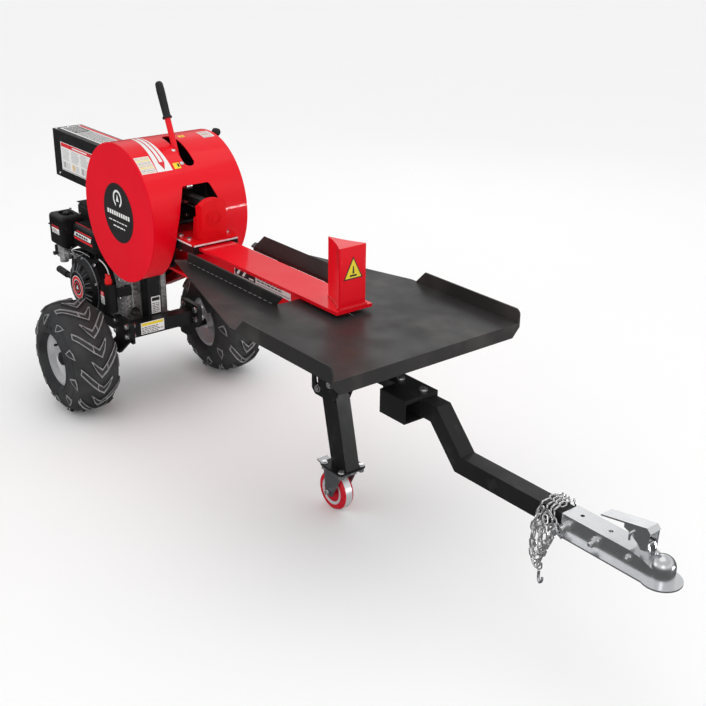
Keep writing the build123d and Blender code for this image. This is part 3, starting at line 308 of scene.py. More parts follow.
def piece(name, shape, body, paints, bevel=0.0, sharp=38, instead_of=()):
    """Makes the shape an object that rides on a body, smooth up to the sharp angle."""
    mesh = bpy.data.meshes.new(name)
    mesh.from_pydata(shape.verts, [], shape.faces)
    paints = paints if isinstance(paints, (list, tuple)) else [paints]
    for paint in paints:
        mesh.materials.append(paint)
    mesh.polygons.foreach_set("material_index", shape.marks)
    mesh.polygons.foreach_set("use_smooth", [True] * len(shape.faces))
    work = bmesh.new()
    work.from_mesh(mesh)
    bmesh.ops.recalc_face_normals(work, faces=work.faces)
    work.to_mesh(mesh)
    work.free()
    mesh.set_sharp_from_angle(angle=math.radians(sharp))
    made = bpy.data.objects.new(name, mesh)
    bpy.context.scene.collection.objects.link(made)
    if bevel:
        soften_edges(made, bevel)
    if body:
        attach(made, body)
    if instead_of:
        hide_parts(*instead_of)
    return made


def basis(origin, u, v):
    """A matrix that puts u and v in a plane at origin, with w out of it."""
    u, v = Vector(u).normalized(), Vector(v).normalized()
    w = u.cross(v)
    matrix = Matrix((u, v, w)).transposed().to_4x4()
    return Matrix.Translation(origin) @ matrix


def rectangle(u0, v0, u1, v1):
    return [(u0, v0), (u1, v0), (u1, v1), (u0, v1)]


def disc(radius, count=48, u=0.0, v=0.0):
    return [(u + radius * math.cos(a), v + radius * math.sin(a)) for a in circle(count)]


def smooth_path(points, steps):
    """A Catmull-Rom curve through the points."""
    points = [Vector(p) for p in points]
    ends = [points[0] * 2 - points[1]] + points + [points[-1] * 2 - points[-2]]
    path = []
    for i in range(1, len(ends) - 2):
        p0, p1, p2, p3 = ends[i - 1:i + 3]
        for k in range(steps):
            t = k / steps
            path.append(0.5 * (2 * p1 + (p2 - p0) * t + (2 * p0 - 5 * p1 + 4 * p2 - p3) * t * t
                               + (3 * p1 - p0 - 3 * p2 + p3) * t ** 3))
    return path + [points[-1]]


def walk(path, step):
    """Points and directions at equal steps along a path."""
    stations, carried = [], 0.0
    for a, b in zip(path, path[1:]):
        length = (b - a).length
        while carried <= length and length:
            stations.append((a.lerp(b, carried / length), (b - a).normalized()))
            carried += step
        carried -= length
    return stations


# ------------------------------------------------------------------ wheels
WHEEL_Y, WHEEL_Z = 0.304, 0.203
TYRE_CROWN, BEAD_R, BEAD_HALF = 0.1975, 0.093, 0.060
TREAD_R = 0.2
TREAD_ROUND = 2 * math.pi * TREAD_R
TREAD_FLAT = 0.045
WALL_ARC = 0.118
TYRE_ARC = 0.163
CROWN_DROP = 0.004
LUGS = 9
LUG_RISE, LUG_SINK, LUG_DIP = 0.0075, -0.002, 0.0026


def tyre_point(turn, across, rise=0.0):
    """A point on the tyre: turn along the tread in metres, across from the middle in metres of arc."""
    reach = abs(across)
    if reach <= TREAD_FLAT:
        y, r = reach, TYRE_CROWN - CROWN_DROP * (reach / TREAD_FLAT) ** 2
        ny, nr = 0.16 * reach / TREAD_FLAT, 1.0
    else:
        bend = min((reach - TREAD_FLAT) / WALL_ARC, 1.0) * math.pi * 0.86
        y = TREAD_FLAT + 0.0485 * math.sin(bend * 0.62) ** 0.9
        r = TYRE_CROWN - CROWN_DROP - 0.049 * (1 - math.cos(bend)) * 0.96
        ny, nr = math.sin(bend * 0.80), math.cos(bend * 0.80)
    angle = turn / TREAD_R
    r += rise * nr
    y = math.copysign(y + rise * ny, across)
    return r, angle, y


def wheel_frame(side):
    """From (radius, angle, y across) to the row frame for one wheel, its outer side at negative y."""
    def place(r, angle, y):
        return at(r * math.sin(angle), side * (WHEEL_Y - y), WHEEL_Z + r * math.cos(angle))
    return place


def lug(shape, place, start, mirror):
    """One chevron lug, from the shoulder to the middle and back, with a lighter raised rim."""
    left = [(-0.076, 0.004), (-0.058, 0.022), (-0.040, 0.042), (-0.019, 0.067), (0.000, 0.086),
            (0.014, 0.075), (0.032, 0.055)]
    right = [(-0.081, 0.032), (-0.062, 0.054), (-0.042, 0.077), (-0.019, 0.103), (0.006, 0.124),
             (0.022, 0.097), (0.036, 0.059)]
    stations = [(0, 1), (0.16, 1), (0.24, 0), (1, 0), (2, 0), (2.84, 0), (2.92, 1), (3.08, 1), (3.16, 0),
                (4, 0), (5, 0),
                (5.5, 0), (5.65, 1), (6, 1)]

    def edge_point(edge, station):
        first = min(int(station), len(edge) - 2)
        share = station - first
        return [edge[first][k] + (edge[first + 1][k] - edge[first][k]) * share for k in (0, 1)]

    def across(a, b, share, rise, shift=0.0):
        """The point at a share of the way from a to b."""
        turn = start + a[1] + (b[1] - a[1]) * share
        return place(*tyre_point(turn, (a[0] + shift + (b[0] - a[0]) * share) * mirror, rise))

    rows = []
    for station, bar in stations:
        a, b = edge_point(left, station), edge_point(right, station)
        floor = LUG_RISE if bar else LUG_RISE - LUG_DIP
        section = ((0.0, LUG_SINK), (0.06, LUG_RISE), (0.22, LUG_RISE), (0.26, floor),
                   (0.74, floor), (0.78, LUG_RISE), (0.94, LUG_RISE), (1.0, LUG_SINK))
        rows.append([across(a, b, share, rise) for share, rise in section])
    ends = []
    for a, b, shift in ((left[0], right[0], -0.004), (left[-1], right[-1], 0.004)):
        ends.append([across(a, b, s / 7, LUG_SINK, shift) for s in range(8)])
    rows = [ends[0]] + rows + [ends[1]]
    bars = [0] + [bar for _, bar in stations] + [0]

    def rim(i, j):
        return 0 if j in (0, 6) or (j == 3 and not (bars[i] and bars[i + 1])) else 1

    shape.grid(rows, mark=rim)


def side_lug(shape, place, start, mirror):
    """A pointed rhombus on the shoulder, with the same lighter rim."""
    corners = [(-0.104, -0.004), (-0.128, 0.006), (-0.116, 0.030), (-0.092, 0.052), (-0.096, 0.020)]
    middle = (sum(c[0] for c in corners) / 5, sum(c[1] for c in corners) / 5)
    rows = []
    for share, rise in ((1.0, LUG_SINK), (0.93, 0.004), (0.70, 0.004), (0.64, 0.002), (0.02, 0.002)):
        rows.append([place(*tyre_point(start + middle[1] + (c[1] - middle[1]) * share,
                                       (middle[0] + (c[0] - middle[0]) * share) * mirror,
                                       rise)) for c in corners])
    shape.grid(rows, closed_row=True, mark=lambda i, j: 1 if i in (0, 1) else 0)


def build_wheel(name, side, body):
    place = wheel_frame(side)
    tyre = Shape()
    around, steps = 120, 44
    rows = []
    for k in range(around):
        turn = TREAD_ROUND * k / around
        row = []
        for s in range(steps + 1):
            across = -TYRE_ARC + 2 * TYRE_ARC * s / steps
            r, angle, y = tyre_point(turn, across)
            row.append(place(r, angle, y))
        row.append(place(BEAD_R, angle, BEAD_HALF))
        row.insert(0, place(BEAD_R, angle, -BEAD_HALF))
        rows.append(row)
    tyre.grid(rows, closed_column=True)
    for r, width in ((0.108, 0.0022), (0.113, 0.0016), (0.150, 0.0014)):
        for face in (-1, 1):
            across = TYRE_ARC
            while tyre_point(0, across)[0] < r and across > 0.05:
                across -= 0.001
            bead = [place(*tyre_point(TREAD_ROUND * k / 72, across * face, 0.0002)) for k in range(72)]
            tyre.tube(bead, width, around=6, closed=True)
    pitch = TREAD_ROUND / LUGS
    for k in range(LUGS):
        for mirror, shift in ((1, 0.0), (-1, pitch / 2)):
            lug(tyre, place, k * pitch + shift, mirror)
            side_lug(tyre, place, k * pitch + shift + pitch * 0.44, mirror)
    rng = random.Random(7)
    for k in range(27):
        if k % 9 in (3, 7):
            continue
        turn = TREAD_ROUND * k / 27
        for step in range(3):
            a = turn + 0.008 * step + rng.uniform(-0.001, 0.001)
            for face in (-1, 1):
                line = [place(*tyre_point(a + 0.002 * m, (0.139 - 0.004 * m) * face, 0.0004))
                        for m in range(4)]
                tyre.tube(line, 0.0013, around=5)
    piece("tyre_tread_" + name, tyre, body, [RUBBER, RUBBER_EDGE], sharp=30,
          instead_of=("tyre_" + name,))

    outward = (0, side, 0)
    hub = Shape()
    hub.lathe([(0.0001, 0.066), (0.014, 0.0655), (0.0225, 0.062), (0.025, 0.056), (0.025, 0.030),
               (0.027, 0.024), (0.027, 0.010)], at(0, side * WHEEL_Y, WHEEL_Z), outward, closed=False)
    hub.tube([at(0.012 * math.cos(a), side * 0.3701, WHEEL_Z + 0.012 * math.sin(a)) for a in circle(24)],
             0.0008, around=6, closed=True)
    piece("hub_cap_" + name, hub, body, BLACK_INK, sharp=30)
    valve = Shape()
    start = at(-0.030, side * 0.330, WHEEL_Z + 0.056)
    valve.tube([start, start + Vector((0.006, side * 0.012, -0.004)),
                start + Vector((0.008, side * 0.030, -0.008)),
                start + Vector((0.008, side * 0.038, -0.008)), start + Vector((0.008, side * 0.039, -0.008)),
                start + Vector((0.008, side * 0.046, -0.008))],
               [0.0075, 0.005, 0.0042, 0.0042, 0.0050, 0.0046], around=12)
    piece("valve_" + name, valve, body, GRIP)


build_wheel("near", -1, "wheel_near")
build_wheel("far", 1, "wheel_far")

# ------------------------------------------------------------------ labels
X, Y, Z = (1, 0, 0), (0, 1, 0), (0, 0, 1)
INKS = [WHITE, BLACK_INK, RED_INK, YELLOW, GREY_INK, PALE]
PAPER, INK, REDDISH, GOLD, MID, SAND = range(6)
LAYER = 0.0003
DISC_FACE = -0.1811
BEAM_SIDE = -0.0042
TANK_SIDE = -0.1552


def label(name, body, origin, u, v, layers):
    """A printed label: flat outlines stacked a hair apart. layers holds (level, ink, outline)."""
    shape = Shape()
    place = basis(at(*origin), u, v)
    for level, ink, outline in layers:
        shape.prism(outline, place, LAYER * (level + 1), ink)
    return piece(name, shape, body, INKS)


def lines(u0, v0, u1, v1, rows, seed, ink, level=1, fill=0.5):
    """Rows of short dashes that read as small print."""
    rng = random.Random(seed)
    pitch = (v1 - v0) / rows
    dashes = []
    for row in range(rows):
        u = u0
        base = v1 - (row + 1) * pitch
        end = u1 - rng.random() * 0.25 * (u1 - u0)
        while u < end:
            length = min((0.8 + 1.6 * rng.random()) * pitch, end - u)
            dashes.append((level, ink, rectangle(u, base, u + length, base + fill * pitch)))
            u += length + 0.45 * pitch
    return dashes


def ring(radius, width, count=48, u=0.0, v=0.0):
    """A ring as a list of four-cornered outlines."""
    outer = disc(radius, count, u, v)
    inner = disc(radius - width, count, u, v)
    last = [outer[-1], outer[0], inner[0], inner[-1]]
    return [outer[i:i + 2] + inner[i:i + 2][::-1] for i in range(count - 1)] + [last]


def rings(level, ink, radius, width, count=48, u=0.0, v=0.0):
    return [(level, ink, part) for part in ring(radius, width, count, u, v)]


def on_drum(angle, y, rise):
    turn, r = math.radians(angle), DRUM_R + rise
    return at(DRUM[0] + r * math.cos(turn), y, DRUM[1] + r * math.sin(turn))


def wrapped(shape, near, far, rise, ink, steps=16):
    """A strip on the drum's skin between two edges, each running from one (angle, y) to another."""
    rows = []
    for k in range(steps + 1):
        t = k / steps
        rows.append([on_drum(a[0] + (b[0] - a[0]) * t, a[1] + (b[1] - a[1]) * t, rise) for a,
                     b in (near, far)])
    shape.grid(rows, mark=ink)


def drum_labels():
    shape = Shape()
    wrapped(shape, ((96, -0.104), (44, -0.117)), ((96, -0.073), (44, -0.061)), LAYER, PAPER, 40)
    for y, wide in ((-0.0965, 0.0045), (-0.0805, 0.0045)):
        wrapped(shape, ((96, y), (52, y - 0.001)), ((96, y + wide), (52, y + wide - 0.001)), 2 * LAYER,
                REDDISH, 32)
    wrapped(shape, ((53, -0.101), (45.6, -0.0885)), ((53, -0.076), (45.6, -0.0875)), 2 * LAYER, REDDISH, 8)
    wrapped(shape, ((61, -0.173), (44, -0.173)), ((61, -0.119), (44, -0.119)), LAYER, PAPER, 14)
    rng = random.Random(7)
    for row in range(11):
        low = 44.8 + row * 1.45
        ink = (SAND, MID, SAND, GOLD, SAND)[row % 5]
        y = -0.171
        while y < -0.122:
            end = min(y + 0.006 + 0.02 * rng.random(), -0.121)
            wrapped(shape, ((low, y), (low + 0.75, y)), ((low, end), (low + 0.75, end)), 2 * LAYER, ink, 2)
            y = end + 0.002
    wrapped(shape, ((50, -0.052), (44.5, -0.052)), ((50, -0.028), (44.5, -0.028)), LAYER, GOLD, 4)
    wrapped(shape, ((49, -0.037), (46, -0.037)), ((49, -0.031), (46, -0.031)), 2 * LAYER, INK, 3)
    wrapped(shape, ((85, 0.046), (80.5, 0.046)), ((85, 0.068), (80.5, 0.068)), LAYER, GOLD, 4)
    wrapped(shape, ((84, 0.055), (81.5, 0.055)), ((84, 0.060), (81.5, 0.060)), 2 * LAYER, REDDISH, 3)
    wrapped(shape, ((87, 0.125), (74, 0.125)), ((87, 0.168), (74, 0.168)), LAYER, PAPER, 10)
    for row in range(6):
        low = 75 + row * 1.9
        wrapped(shape, ((low, 0.128), (low + 0.8, 0.128)), ((low, 0.162), (low + 0.8, 0.162)), 2 * LAYER,
                (MID, SAND, REDDISH)[row % 3], 2)
    piece("drum_labels", shape, "frame", INKS)
    bolts = Shape()
    for angle, y in ((63, -0.020), (48.5, -0.019)):
        turn = math.radians(angle)
        bolts.lathe([(0, -0.001), (0.007, -0.001), (0.007, 0.002), (0.0045, 0.004), (0, 0.0045)],
                    on_drum(angle, y, 0), (math.cos(turn), 0, math.sin(turn)), 16)
    piece("slot_screws", bolts, "frame", BOLT)


def disc_badge():
    layers = [(0, INK, disc(0.103, 72))]
    layers += rings(1, PAPER, 0.030, 0.0075, 40, 0, 0.050)
    layers += [(2, INK, rectangle(-0.012, 0.016, 0.012, 0.032)),
               (1, PAPER, [(-0.009, 0.040), (0.009, 0.040), (0, 0.066)])]
    for k in range(10):
        u = -0.078 + 0.016 * k
        layers.append((1, PAPER, rectangle(u, -0.012, u + 0.011, 0.003)))
    layers += lines(-0.070, -0.034, 0.078, -0.022, 1, 12, PAPER, 1, 0.3)
    layers += lines(-0.040, -0.052, 0.046, -0.042, 1, 13, PAPER, 1, 0.45)
    label("disc_badge", "frame", (DRUM[0], DISC_FACE, DRUM[1]), X, Z, layers)


def cover_labels():
    low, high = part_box("rack_cover")
    near, top = low[1] - 0.0001, high[2] + 0.0001
    side = [(0, PAPER, rectangle(0, 0, 0.32, 0.109)), (1, MID, rectangle(0.003, 0.002, 0.317, 0.006)),
            (1, REDDISH, rectangle(0.004, 0.092, 0.316, 0.107)),
            (2, PAPER, rectangle(0.10, 0.097, 0.22, 0.102))]
    side += [(1, SAND if k % 2 else MID,
              rectangle(0.014 + 0.076 * k, 0.012, 0.036 + 0.076 * k, 0.036)) for k in range(4)]
    for k in range(4):
        side += lines(0.012 + 0.076 * k, 0.044, 0.076 + 0.076 * k, 0.089, 9, 30 + k, MID, 1, 0.4)
        side += lines(0.041 + 0.076 * k, 0.011, 0.076 + 0.076 * k, 0.037, 5, 36 + k, MID, 1, 0.4)
    label("cover_side_label", "frame", (-0.52, near, 0.741), X, Z, side)
    upper = [(0, PAPER, rectangle(0, 0, 0.365, 0.092)), (1, REDDISH, rectangle(0.003, 0.078, 0.362, 0.090)),
             (1, INK, rectangle(0.010, 0.010, 0.120, 0.072))]
    upper += lines(0.128, 0.008, 0.358, 0.074, 9, 44, INK, 1, 0.42)
    upper += lines(0.016, 0.016, 0.116, 0.068, 6, 45, PAPER, 2, 0.4)
    label("cover_top_label", "frame", (-0.565, -0.038, top), X, Y, upper)
    screws = Shape()
    head = [(0, 0), (0.006, 0), (0.005, 0.003), (0, 0.0035)]
    for y in (-0.048, 0, 0.048):
        screws.lathe(head, (low[0] + 0.012, y, top), Z, 14)
    for x in (-0.545, -0.32, -0.10):
        screws.lathe(head, at(x, near, 0.722), (0, -1, 0), 14)
    piece("cover_screws", screws, "frame", BOLT)


def frame_labels():
    post = [(0, PAPER, rectangle(0, 0, 0.037, 0.065)), (1, INK, rectangle(0.003, 0.048, 0.034, 0.061))]
    post += lines(0.004, 0.004, 0.034, 0.044, 6, 51, INK, 1, 0.4)
    label("post_label", "frame", (0.0382, -0.0135, 0.305), Y, Z, post)
    tube = [(0, PAPER, rectangle(0, 0, 0.095, 0.044)), (1, GOLD, rectangle(0.003, 0.031, 0.092, 0.041))]
    tube += lines(0.004, 0.003, 0.09, 0.029, 4, 52, INK, 1, 0.42)
    label("axle_label", "frame", (0.0882, -0.088, 0.256), Y, Z, tube)
    sign = [(0, INK, [(-0.034, 0), (0.034, 0), (0, 0.066)]),
            (1, GOLD, [(-0.0285, 0.0035), (0.0285, 0.0035), (0, 0.059)]),
            (2, INK, [(-0.012, 0.008), (0.012, 0.008), (0.012, 0.013), (-0.012, 0.013)]),
            (2, INK, [(-0.003, 0.016), (0.004, 0.016), (0.0015, 0.038), (-0.0015, 0.038)])]
    label("wedge_sign", "frame", (1.1992, 0, 0.766), Y, Z, sign)
    band = [(0, PAPER, rectangle(0, 0, 0.31, 0.036)), (1, INK, rectangle(0.004, 0.004, 0.120, 0.032)),
            (2, PAPER, [(0.012, 0.008), (0.024, 0.008), (0.040, 0.028), (0.028, 0.028)]),
            (2, PAPER, [(0.044, 0.008), (0.056, 0.008), (0.072, 0.028), (0.060, 0.028)]),
            (2, PAPER, rectangle(0.084, 0.008, 0.110, 0.013)),
            (1, MID, rectangle(0.126, 0.005, 0.306, 0.009))]
    band += lines(0.128, 0.014, 0.304, 0.031, 2, 54, INK, 1, 0.5)
    label("beam_label", "frame", (0.595, BEAM_SIDE, 0.611), X, Z, band)


drum_labels()
disc_badge()
cover_labels()
frame_labels()


# ------------------------------------------------------------------ chain
def chain(shape, path, length=0.026, width=0.0155, wire=0.0021, roll=0.0):
    """Links along a path, each turned a quarter from the last."""
    pitch = length - 2.1 * wire
    for number, (place, along) in enumerate(walk(path, pitch)):
        side = along.orthogonal().normalized()
        up = along.cross(side)
        turn = roll + (math.pi / 2 if number % 2 else 0)
        across = side * math.cos(turn) + up * math.sin(turn)
        straight, half = length / 2 - width / 2, width / 2 - wire
        loop = []
        for a in circle(14):
            offset = straight if math.cos(a) > 0 else -straight
            loop.append(place + along * (offset + half * math.cos(a)) + across * (half * math.sin(a)))
        shape.tube(loop, wire, 6, closed=True)


def safety_chain():
    shape = Shape()
    centre_z, half = 0.392, 0.034
    corners = [(-1, 0.1), (-0.93, 0.93), (0, 1.05), (0.93, 0.93), (1, 0), (0.93, -0.93), (0, -1.05),
               (-0.93, -0.93)]
    points = []
    for turn in range(4):
        for k, (y, z) in enumerate(corners):
            lean = 0.006 * math.sin(2 * math.pi * k / 8 + turn)
            points.append(at(1.968 + 0.0165 * (turn + k / 8) + lean, y * half, centre_z + z * half))
    for x, y, z in ((2.030, -0.040, 0.385), (2.022, -0.052, 0.345), (2.006, -0.058, 0.318),
                    (1.992, -0.054, 0.348),
                    (1.998, -0.047, 0.400), (2.010, -0.056, 0.372), (2.014, -0.064, 0.320),
                    (2.008, -0.062, 0.290),
                    (2.004, -0.058, 0.256)):
        points.append(at(x, y, z))
    chain(shape, smooth_path(points, 6))
    drape = [at(1.985, -0.038, 0.37), at(2.0, -0.060, 0.335), at(2.02, -0.062, 0.345), at(2.03, -0.046, 0.39),
             at(2.018, -0.052, 0.42), at(2.0, -0.050, 0.425)]
    chain(shape, smooth_path(drape, 6), roll=0.6)
    for lift, roll in ((0.0, 0.3), (0.02, 1.0), (-0.015, 0.2)):
        loop = [at(1.976, -0.036, 0.404), at(1.972, -0.050, 0.372 - lift), at(1.976, -0.060, 0.330 - lift),
                at(1.990, -0.064, 0.296 - lift), at(2.006, -0.066, 0.300 - lift), at(2.022, -0.060, 0.335),
                at(2.034, -0.046, 0.385)]
        chain(shape, smooth_path(loop, 6), roll=roll)
    piece("stowed_chain", shape, "frame", BOLT, instead_of=("safety_chain",))
    hook = Shape()
    bend = [at(2.004, -0.058, 0.256), at(2.004, -0.058, 0.247), at(2.006, -0.060, 0.236),
            at(2.013, -0.063, 0.229),
            at(2.019, -0.062, 0.236), at(2.018, -0.060, 0.244)]
    hook.tube(smooth_path(bend, 5), 0.0035, 8)
    piece("chain_hook", hook, "frame", ZINC)


safety_chain()


# ------------------------------------------------------------------ ram and wedge
PLATE_EDGE_Z, PLATE_EDGE = 0.6887, 0.0055
RAM_FACE_X = 0.4761
WELD_Z = 0.6835


def ram_details():
    shape = Shape()
    shape.prism(rectangle(-0.084, 0, 0.084, PLATE_EDGE), basis(at(0.4832, 0, PLATE_EDGE_Z), Y, Z), 0.0005)
    shape.prism(rectangle(0.012, 0, 0.126, PLATE_EDGE), basis(at(0.345, -0.0861, PLATE_EDGE_Z), X, Z), 0.0005)
    piece("ram_bare_edge", shape, "ram", BARE)
    shape = Shape()
    face = basis(at(RAM_FACE_X, 0, 0.772), Y, Z)
    shape.prism([(-0.010, -0.012), (0.010, -0.012), (0, 0.014)], face, 0.0014)
    for part in ring(0.020, 0.002, 32):
        shape.prism(part, face, 0.0012)
    piece("ram_emblem", shape, "ram", RED_RAM)
    weld = Shape()
    rng = random.Random(5)
    for side in (-1, 1):
        line = [at(0.4505, side * 0.046, 0.703 + 0.0075 * k) for k in range(14)]
        weld.tube(line, [0.0024 + 0.0008 * rng.random() for _ in line], 7)
    piece("ram_welds", weld, "ram", RED_RAM)


def wedge_welds():
    weld = Shape()
    rng = random.Random(9)
    for side in (-1, 1):
        flank = ((1.090, 0.002), (1.11, 0.0085), (1.135, 0.017), (1.160, 0.028), (1.180, 0.039),
                 (1.196, 0.049))
        path = smooth_path([at(x, side * y, WELD_Z) for x, y in flank], 7)
        weld.tube(path, [0.0036 + 0.0012 * rng.random() for _ in path], 8)
    path = [at(1.2005, -0.049 + 0.0035 * k, WELD_Z) for k in range(29)]
    weld.tube(path, [0.0042 + 0.0014 * rng.random() for _ in path], 8)
    piece("wedge_welds", weld, "frame", WELD)


ram_details()
wedge_welds()


# ------------------------------------------------------------------ engine
WASHER = 0.0014


def hex_head(shape, place, axis, across, height):
    """A hexagon head on a round washer; across is the width over flats."""
    shape.lathe([(0, 0), (across * 0.68, 0), (across * 0.68, WASHER), (0, WASHER)], place, axis, 20)
    shape.lathe([(0, WASHER), (across * 0.577, WASHER), (across * 0.577, height), (0, height)], place, axis,
                6)


def line_piece(name, points, radius, paint, steps=8, around=8):
    """A wire, lead or hose along a smooth path, on the frame."""
    shape = Shape()
    shape.tube(smooth_path([at(*p) for p in points], steps), radius, around)
    piece(name, shape, "frame", paint)


def engine_details():
    cx, cz = CRANK
    emblem = [(0, PAPER, disc(0.044, 40)), (1, REDDISH, disc(0.0415, 40)), (2, PAPER, disc(0.030, 40)),
              (3, INK, disc(0.0275, 36))] + rings(4, REDDISH, 0.020, 0.004, 32)
    emblem += [(4, PAPER, [(-0.008, -0.007), (0.009, -0.007), (0.0, 0.010)])]
    label("recoil_emblem", "frame", (cx, -0.1942, cz), X, Z, emblem)
    # Painted highlight: the recoil cover's ribs and rings are black plastic like the cover, but they are
    # painted a lighter grey metal to stand in for the bright highlights along their edges.
    ribs = Shape()
    for k in range(30):
        turn = 2 * math.pi * k / 30
        if k % 3 == 0:
            continue
        u, w = math.cos(turn), math.sin(turn)
        ribs.tube([at(cx + 0.058 * u, -0.1926, cz + 0.058 * w), at(cx + 0.088 * u, -0.1795, cz + 0.088 * w)],
                  0.0016, 6)
    for radius, y in ((0.058, -0.1925), (0.109, -0.164)):
        loop = [at(cx + radius * math.cos(a), y, cz + radius * math.sin(a)) for a in circle(60)]
        ribs.tube(loop, 0.0022, 6, closed=True)
    piece("recoil_ribs_painted_highlight", ribs, "frame", FORK)
    bolts = Shape()
    for k in range(5):
        turn = math.radians(18 + 72 * k)
        hex_head(bolts, at(cx + 0.1045 * math.cos(turn), -0.1665, cz + 0.1045 * math.sin(turn)), (0, -1, 0),
                 0.009, 0.005)
    for x, z in ((-0.283, 0.475), (-0.120, 0.478), (-0.296, 0.402)):
        hex_head(bolts, at(x, -0.1502, z), (0, -1, 0), 0.010, 0.006)
    for x, z in ((-0.045, 0.432), (-0.045, 0.36), (-0.045, 0.292)):
        hex_head(bolts, at(x, -0.0922, z), (0, -1, 0), 0.010, 0.007)
    for x in (-0.385, -0.305):
        hex_head(bolts, at(x, -0.105, 0.6222), Z, 0.008, 0.004)
    piece("engine_bolts_visual", bolts, "frame", BOLT)
    case = Shape()
    for k in range(9):
        z = 0.288 + 0.017 * k
        case.block(at(-0.060, -0.0975, z), at(-0.030, -0.0915, z + 0.005))
    for y in (-0.06, -0.03, 0.0, 0.03, 0.06):
        case.block(at(-0.0205, y - 0.0025, 0.285), at(-0.0135, y + 0.0025, 0.44))
    piece("crankcase_ribs", case, "frame", ALLOY, bevel=0.001)
    cap = Shape()
    cap.lathe([(0, 0), (0.015, 0), (0.016, 0.004), (0.016, 0.013), (0.012, 0.016), (0, 0.016)],
              at(-0.013, -0.055, 0.306), (0.75, -0.3, 0.55), 12)
    piece("oil_filler", cap, "frame", BLACK_INK)
    rods = Shape()
    rods.tube(smooth_path([at(-0.200, -0.186, 0.502), at(-0.235, -0.188, 0.500), at(-0.27, -0.184, 0.488),
                           at(-0.318, -0.182, 0.486)], 6), 0.0013, 6)
    rods.tube(smooth_path([at(-0.150, -0.152, 0.502), at(-0.20, -0.160, 0.509), at(-0.262, -0.172, 0.505),
                           at(-0.300, -0.176, 0.497)], 6), 0.0011, 6)
    rods.block(at(-0.300, -0.183, 0.470), at(-0.262, -0.1805, 0.499))
    rods.tube([at(-0.262 + 0.0011 * k, -0.168 + 0.004 * math.cos(k * 1.3),
                  0.494 + 0.004 * math.sin(k * 1.3)) for k in range(48)], 0.0007, 5)
    rods.lathe([(0, 0), (0.006, 0), (0.006, 0.006), (0, 0.006)], at(-0.345, -0.1802, 0.478), (0, -1, 0), 14)
    piece("carburettor_linkage", rods, "frame", BOLT)
    choke = Shape()
    choke.block(at(-0.372, -0.1875, 0.470), at(-0.362, -0.1805, 0.500))
    choke.block(at(-0.374, -0.196, 0.462), at(-0.360, -0.1805, 0.474))
    piece("choke_lever", choke, "frame", BLACK_INK, bevel=0.001)
    line_piece("switch_wire", [(-0.008, -0.150, 0.446), (-0.020, -0.145, 0.470), (-0.055, -0.140, 0.492),
                               (-0.100, -0.140, 0.504)], 0.0022, WHITE)
    line_piece("plug_lead", [(-0.120, -0.145, 0.505), (-0.20, -0.08, 0.507), (-0.30, -0.088, 0.492),
                             (-0.352, -0.075, 0.470)], 0.0035, GRIP)
    line_piece("fuel_hose", [(-0.262, -0.148, 0.516), (-0.272, -0.158, 0.508), (-0.286, -0.165, 0.500),
                             (-0.305, -0.166, 0.497)], 0.0035, GRIP)


def engine_covers():
    tank = [(0, REDDISH, [(0.018, 0.012), (0.162, 0.012), (0.162, 0.020), (0.018, 0.020)]),
            (0, PAPER, [(0.018, 0.024), (0.150, 0.024), (0.157, 0.040), (0.025, 0.040)]),
            (0, REDDISH, [(0.040, 0.044), (0.160, 0.044), (0.162, 0.049), (0.042, 0.049)])]
    tank += lines(0.034, 0.027, 0.140, 0.037, 1, 61, INK, 1, 0.8)
    label("tank_label", "frame", (-0.278, TANK_SIDE, 0.536), X, Z, tank)
    filter_label = [(0, PAPER, rectangle(0, 0, 0.060, 0.030)),
                    (1, REDDISH, rectangle(0.0, 0.020, 0.060, 0.030))]
    filter_label += lines(0.004, 0.003, 0.056, 0.018, 3, 62, INK, 1, 0.45)
    label("filter_label", "frame", (-0.373, -0.1902, 0.552), X, Z, filter_label)
    box_label = [(0, PAPER, rectangle(0, 0, 0.026, 0.046)), (1, REDDISH, rectangle(0, 0.030, 0.026, 0.046))]
    box_label += rings(2, PAPER, 0.006, 0.0018, 20, 0.013, 0.038)
    box_label += lines(0.003, 0.003, 0.024, 0.027, 4, 63, INK, 1, 0.4)
    label("switch_label", "frame", (-0.006, -0.1892, 0.376), X, Z, box_label)
    seam = Shape()
    seam.block(at(-0.4035, -0.1915, 0.5745), at(-0.2825, -0.0945, 0.5785))
    for k in range(7):
        x = -0.388 + 0.0145 * k
        seam.block(at(x, -0.1920, 0.5805), at(x + 0.005, -0.188, 0.608))
    for y in (-0.165, -0.121):
        seam.block(at(-0.2855, y, 0.560), at(-0.2800, y + 0.016, 0.592))
    piece("filter_cover_seam", seam, "frame", ENGINE, bevel=0.0012)
    knob = Shape()
    knob.lathe([(0, 0), (0.012, 0), (0.013, 0.003), (0.013, 0.010), (0.010, 0.013), (0, 0.013)],
               at(-0.343, -0.143, 0.6142), Z, 10)
    piece("filter_knob", knob, "frame", BLACK_INK)
    shield = Shape()
    shield.block(at(-0.396, -0.072, 0.6425), at(-0.290, 0.072, 0.6445), 0)
    shield.block(at(-0.2865, -0.066, 0.606), at(-0.2850, 0.066, 0.640), 0)
    for i in range(7):
        for j in range(10):
            shield.prism(disc(0.0042, 12, -0.384 + 0.0135 * i, -0.061 + 0.0135 * j),
                         basis(at(0, 0, 0.6445), X, Y), 0.0002, 1)
    for j in range(9):
        shield.prism(disc(0.0038, 12, -0.054 + 0.0135 * j, 0.624), basis(at(-0.285, 0, 0), Y, Z), 0.0002, 1)
    piece("muffler_shield", shield, "frame", [EXHAUST, BLACK_INK])
    label("tank_stripe", "frame", (-0.268, -0.145, 0.6041), X, Y,
          [(0, REDDISH, rectangle(0.0, 0.002, 0.12, 0.006))])


engine_details()
engine_covers()


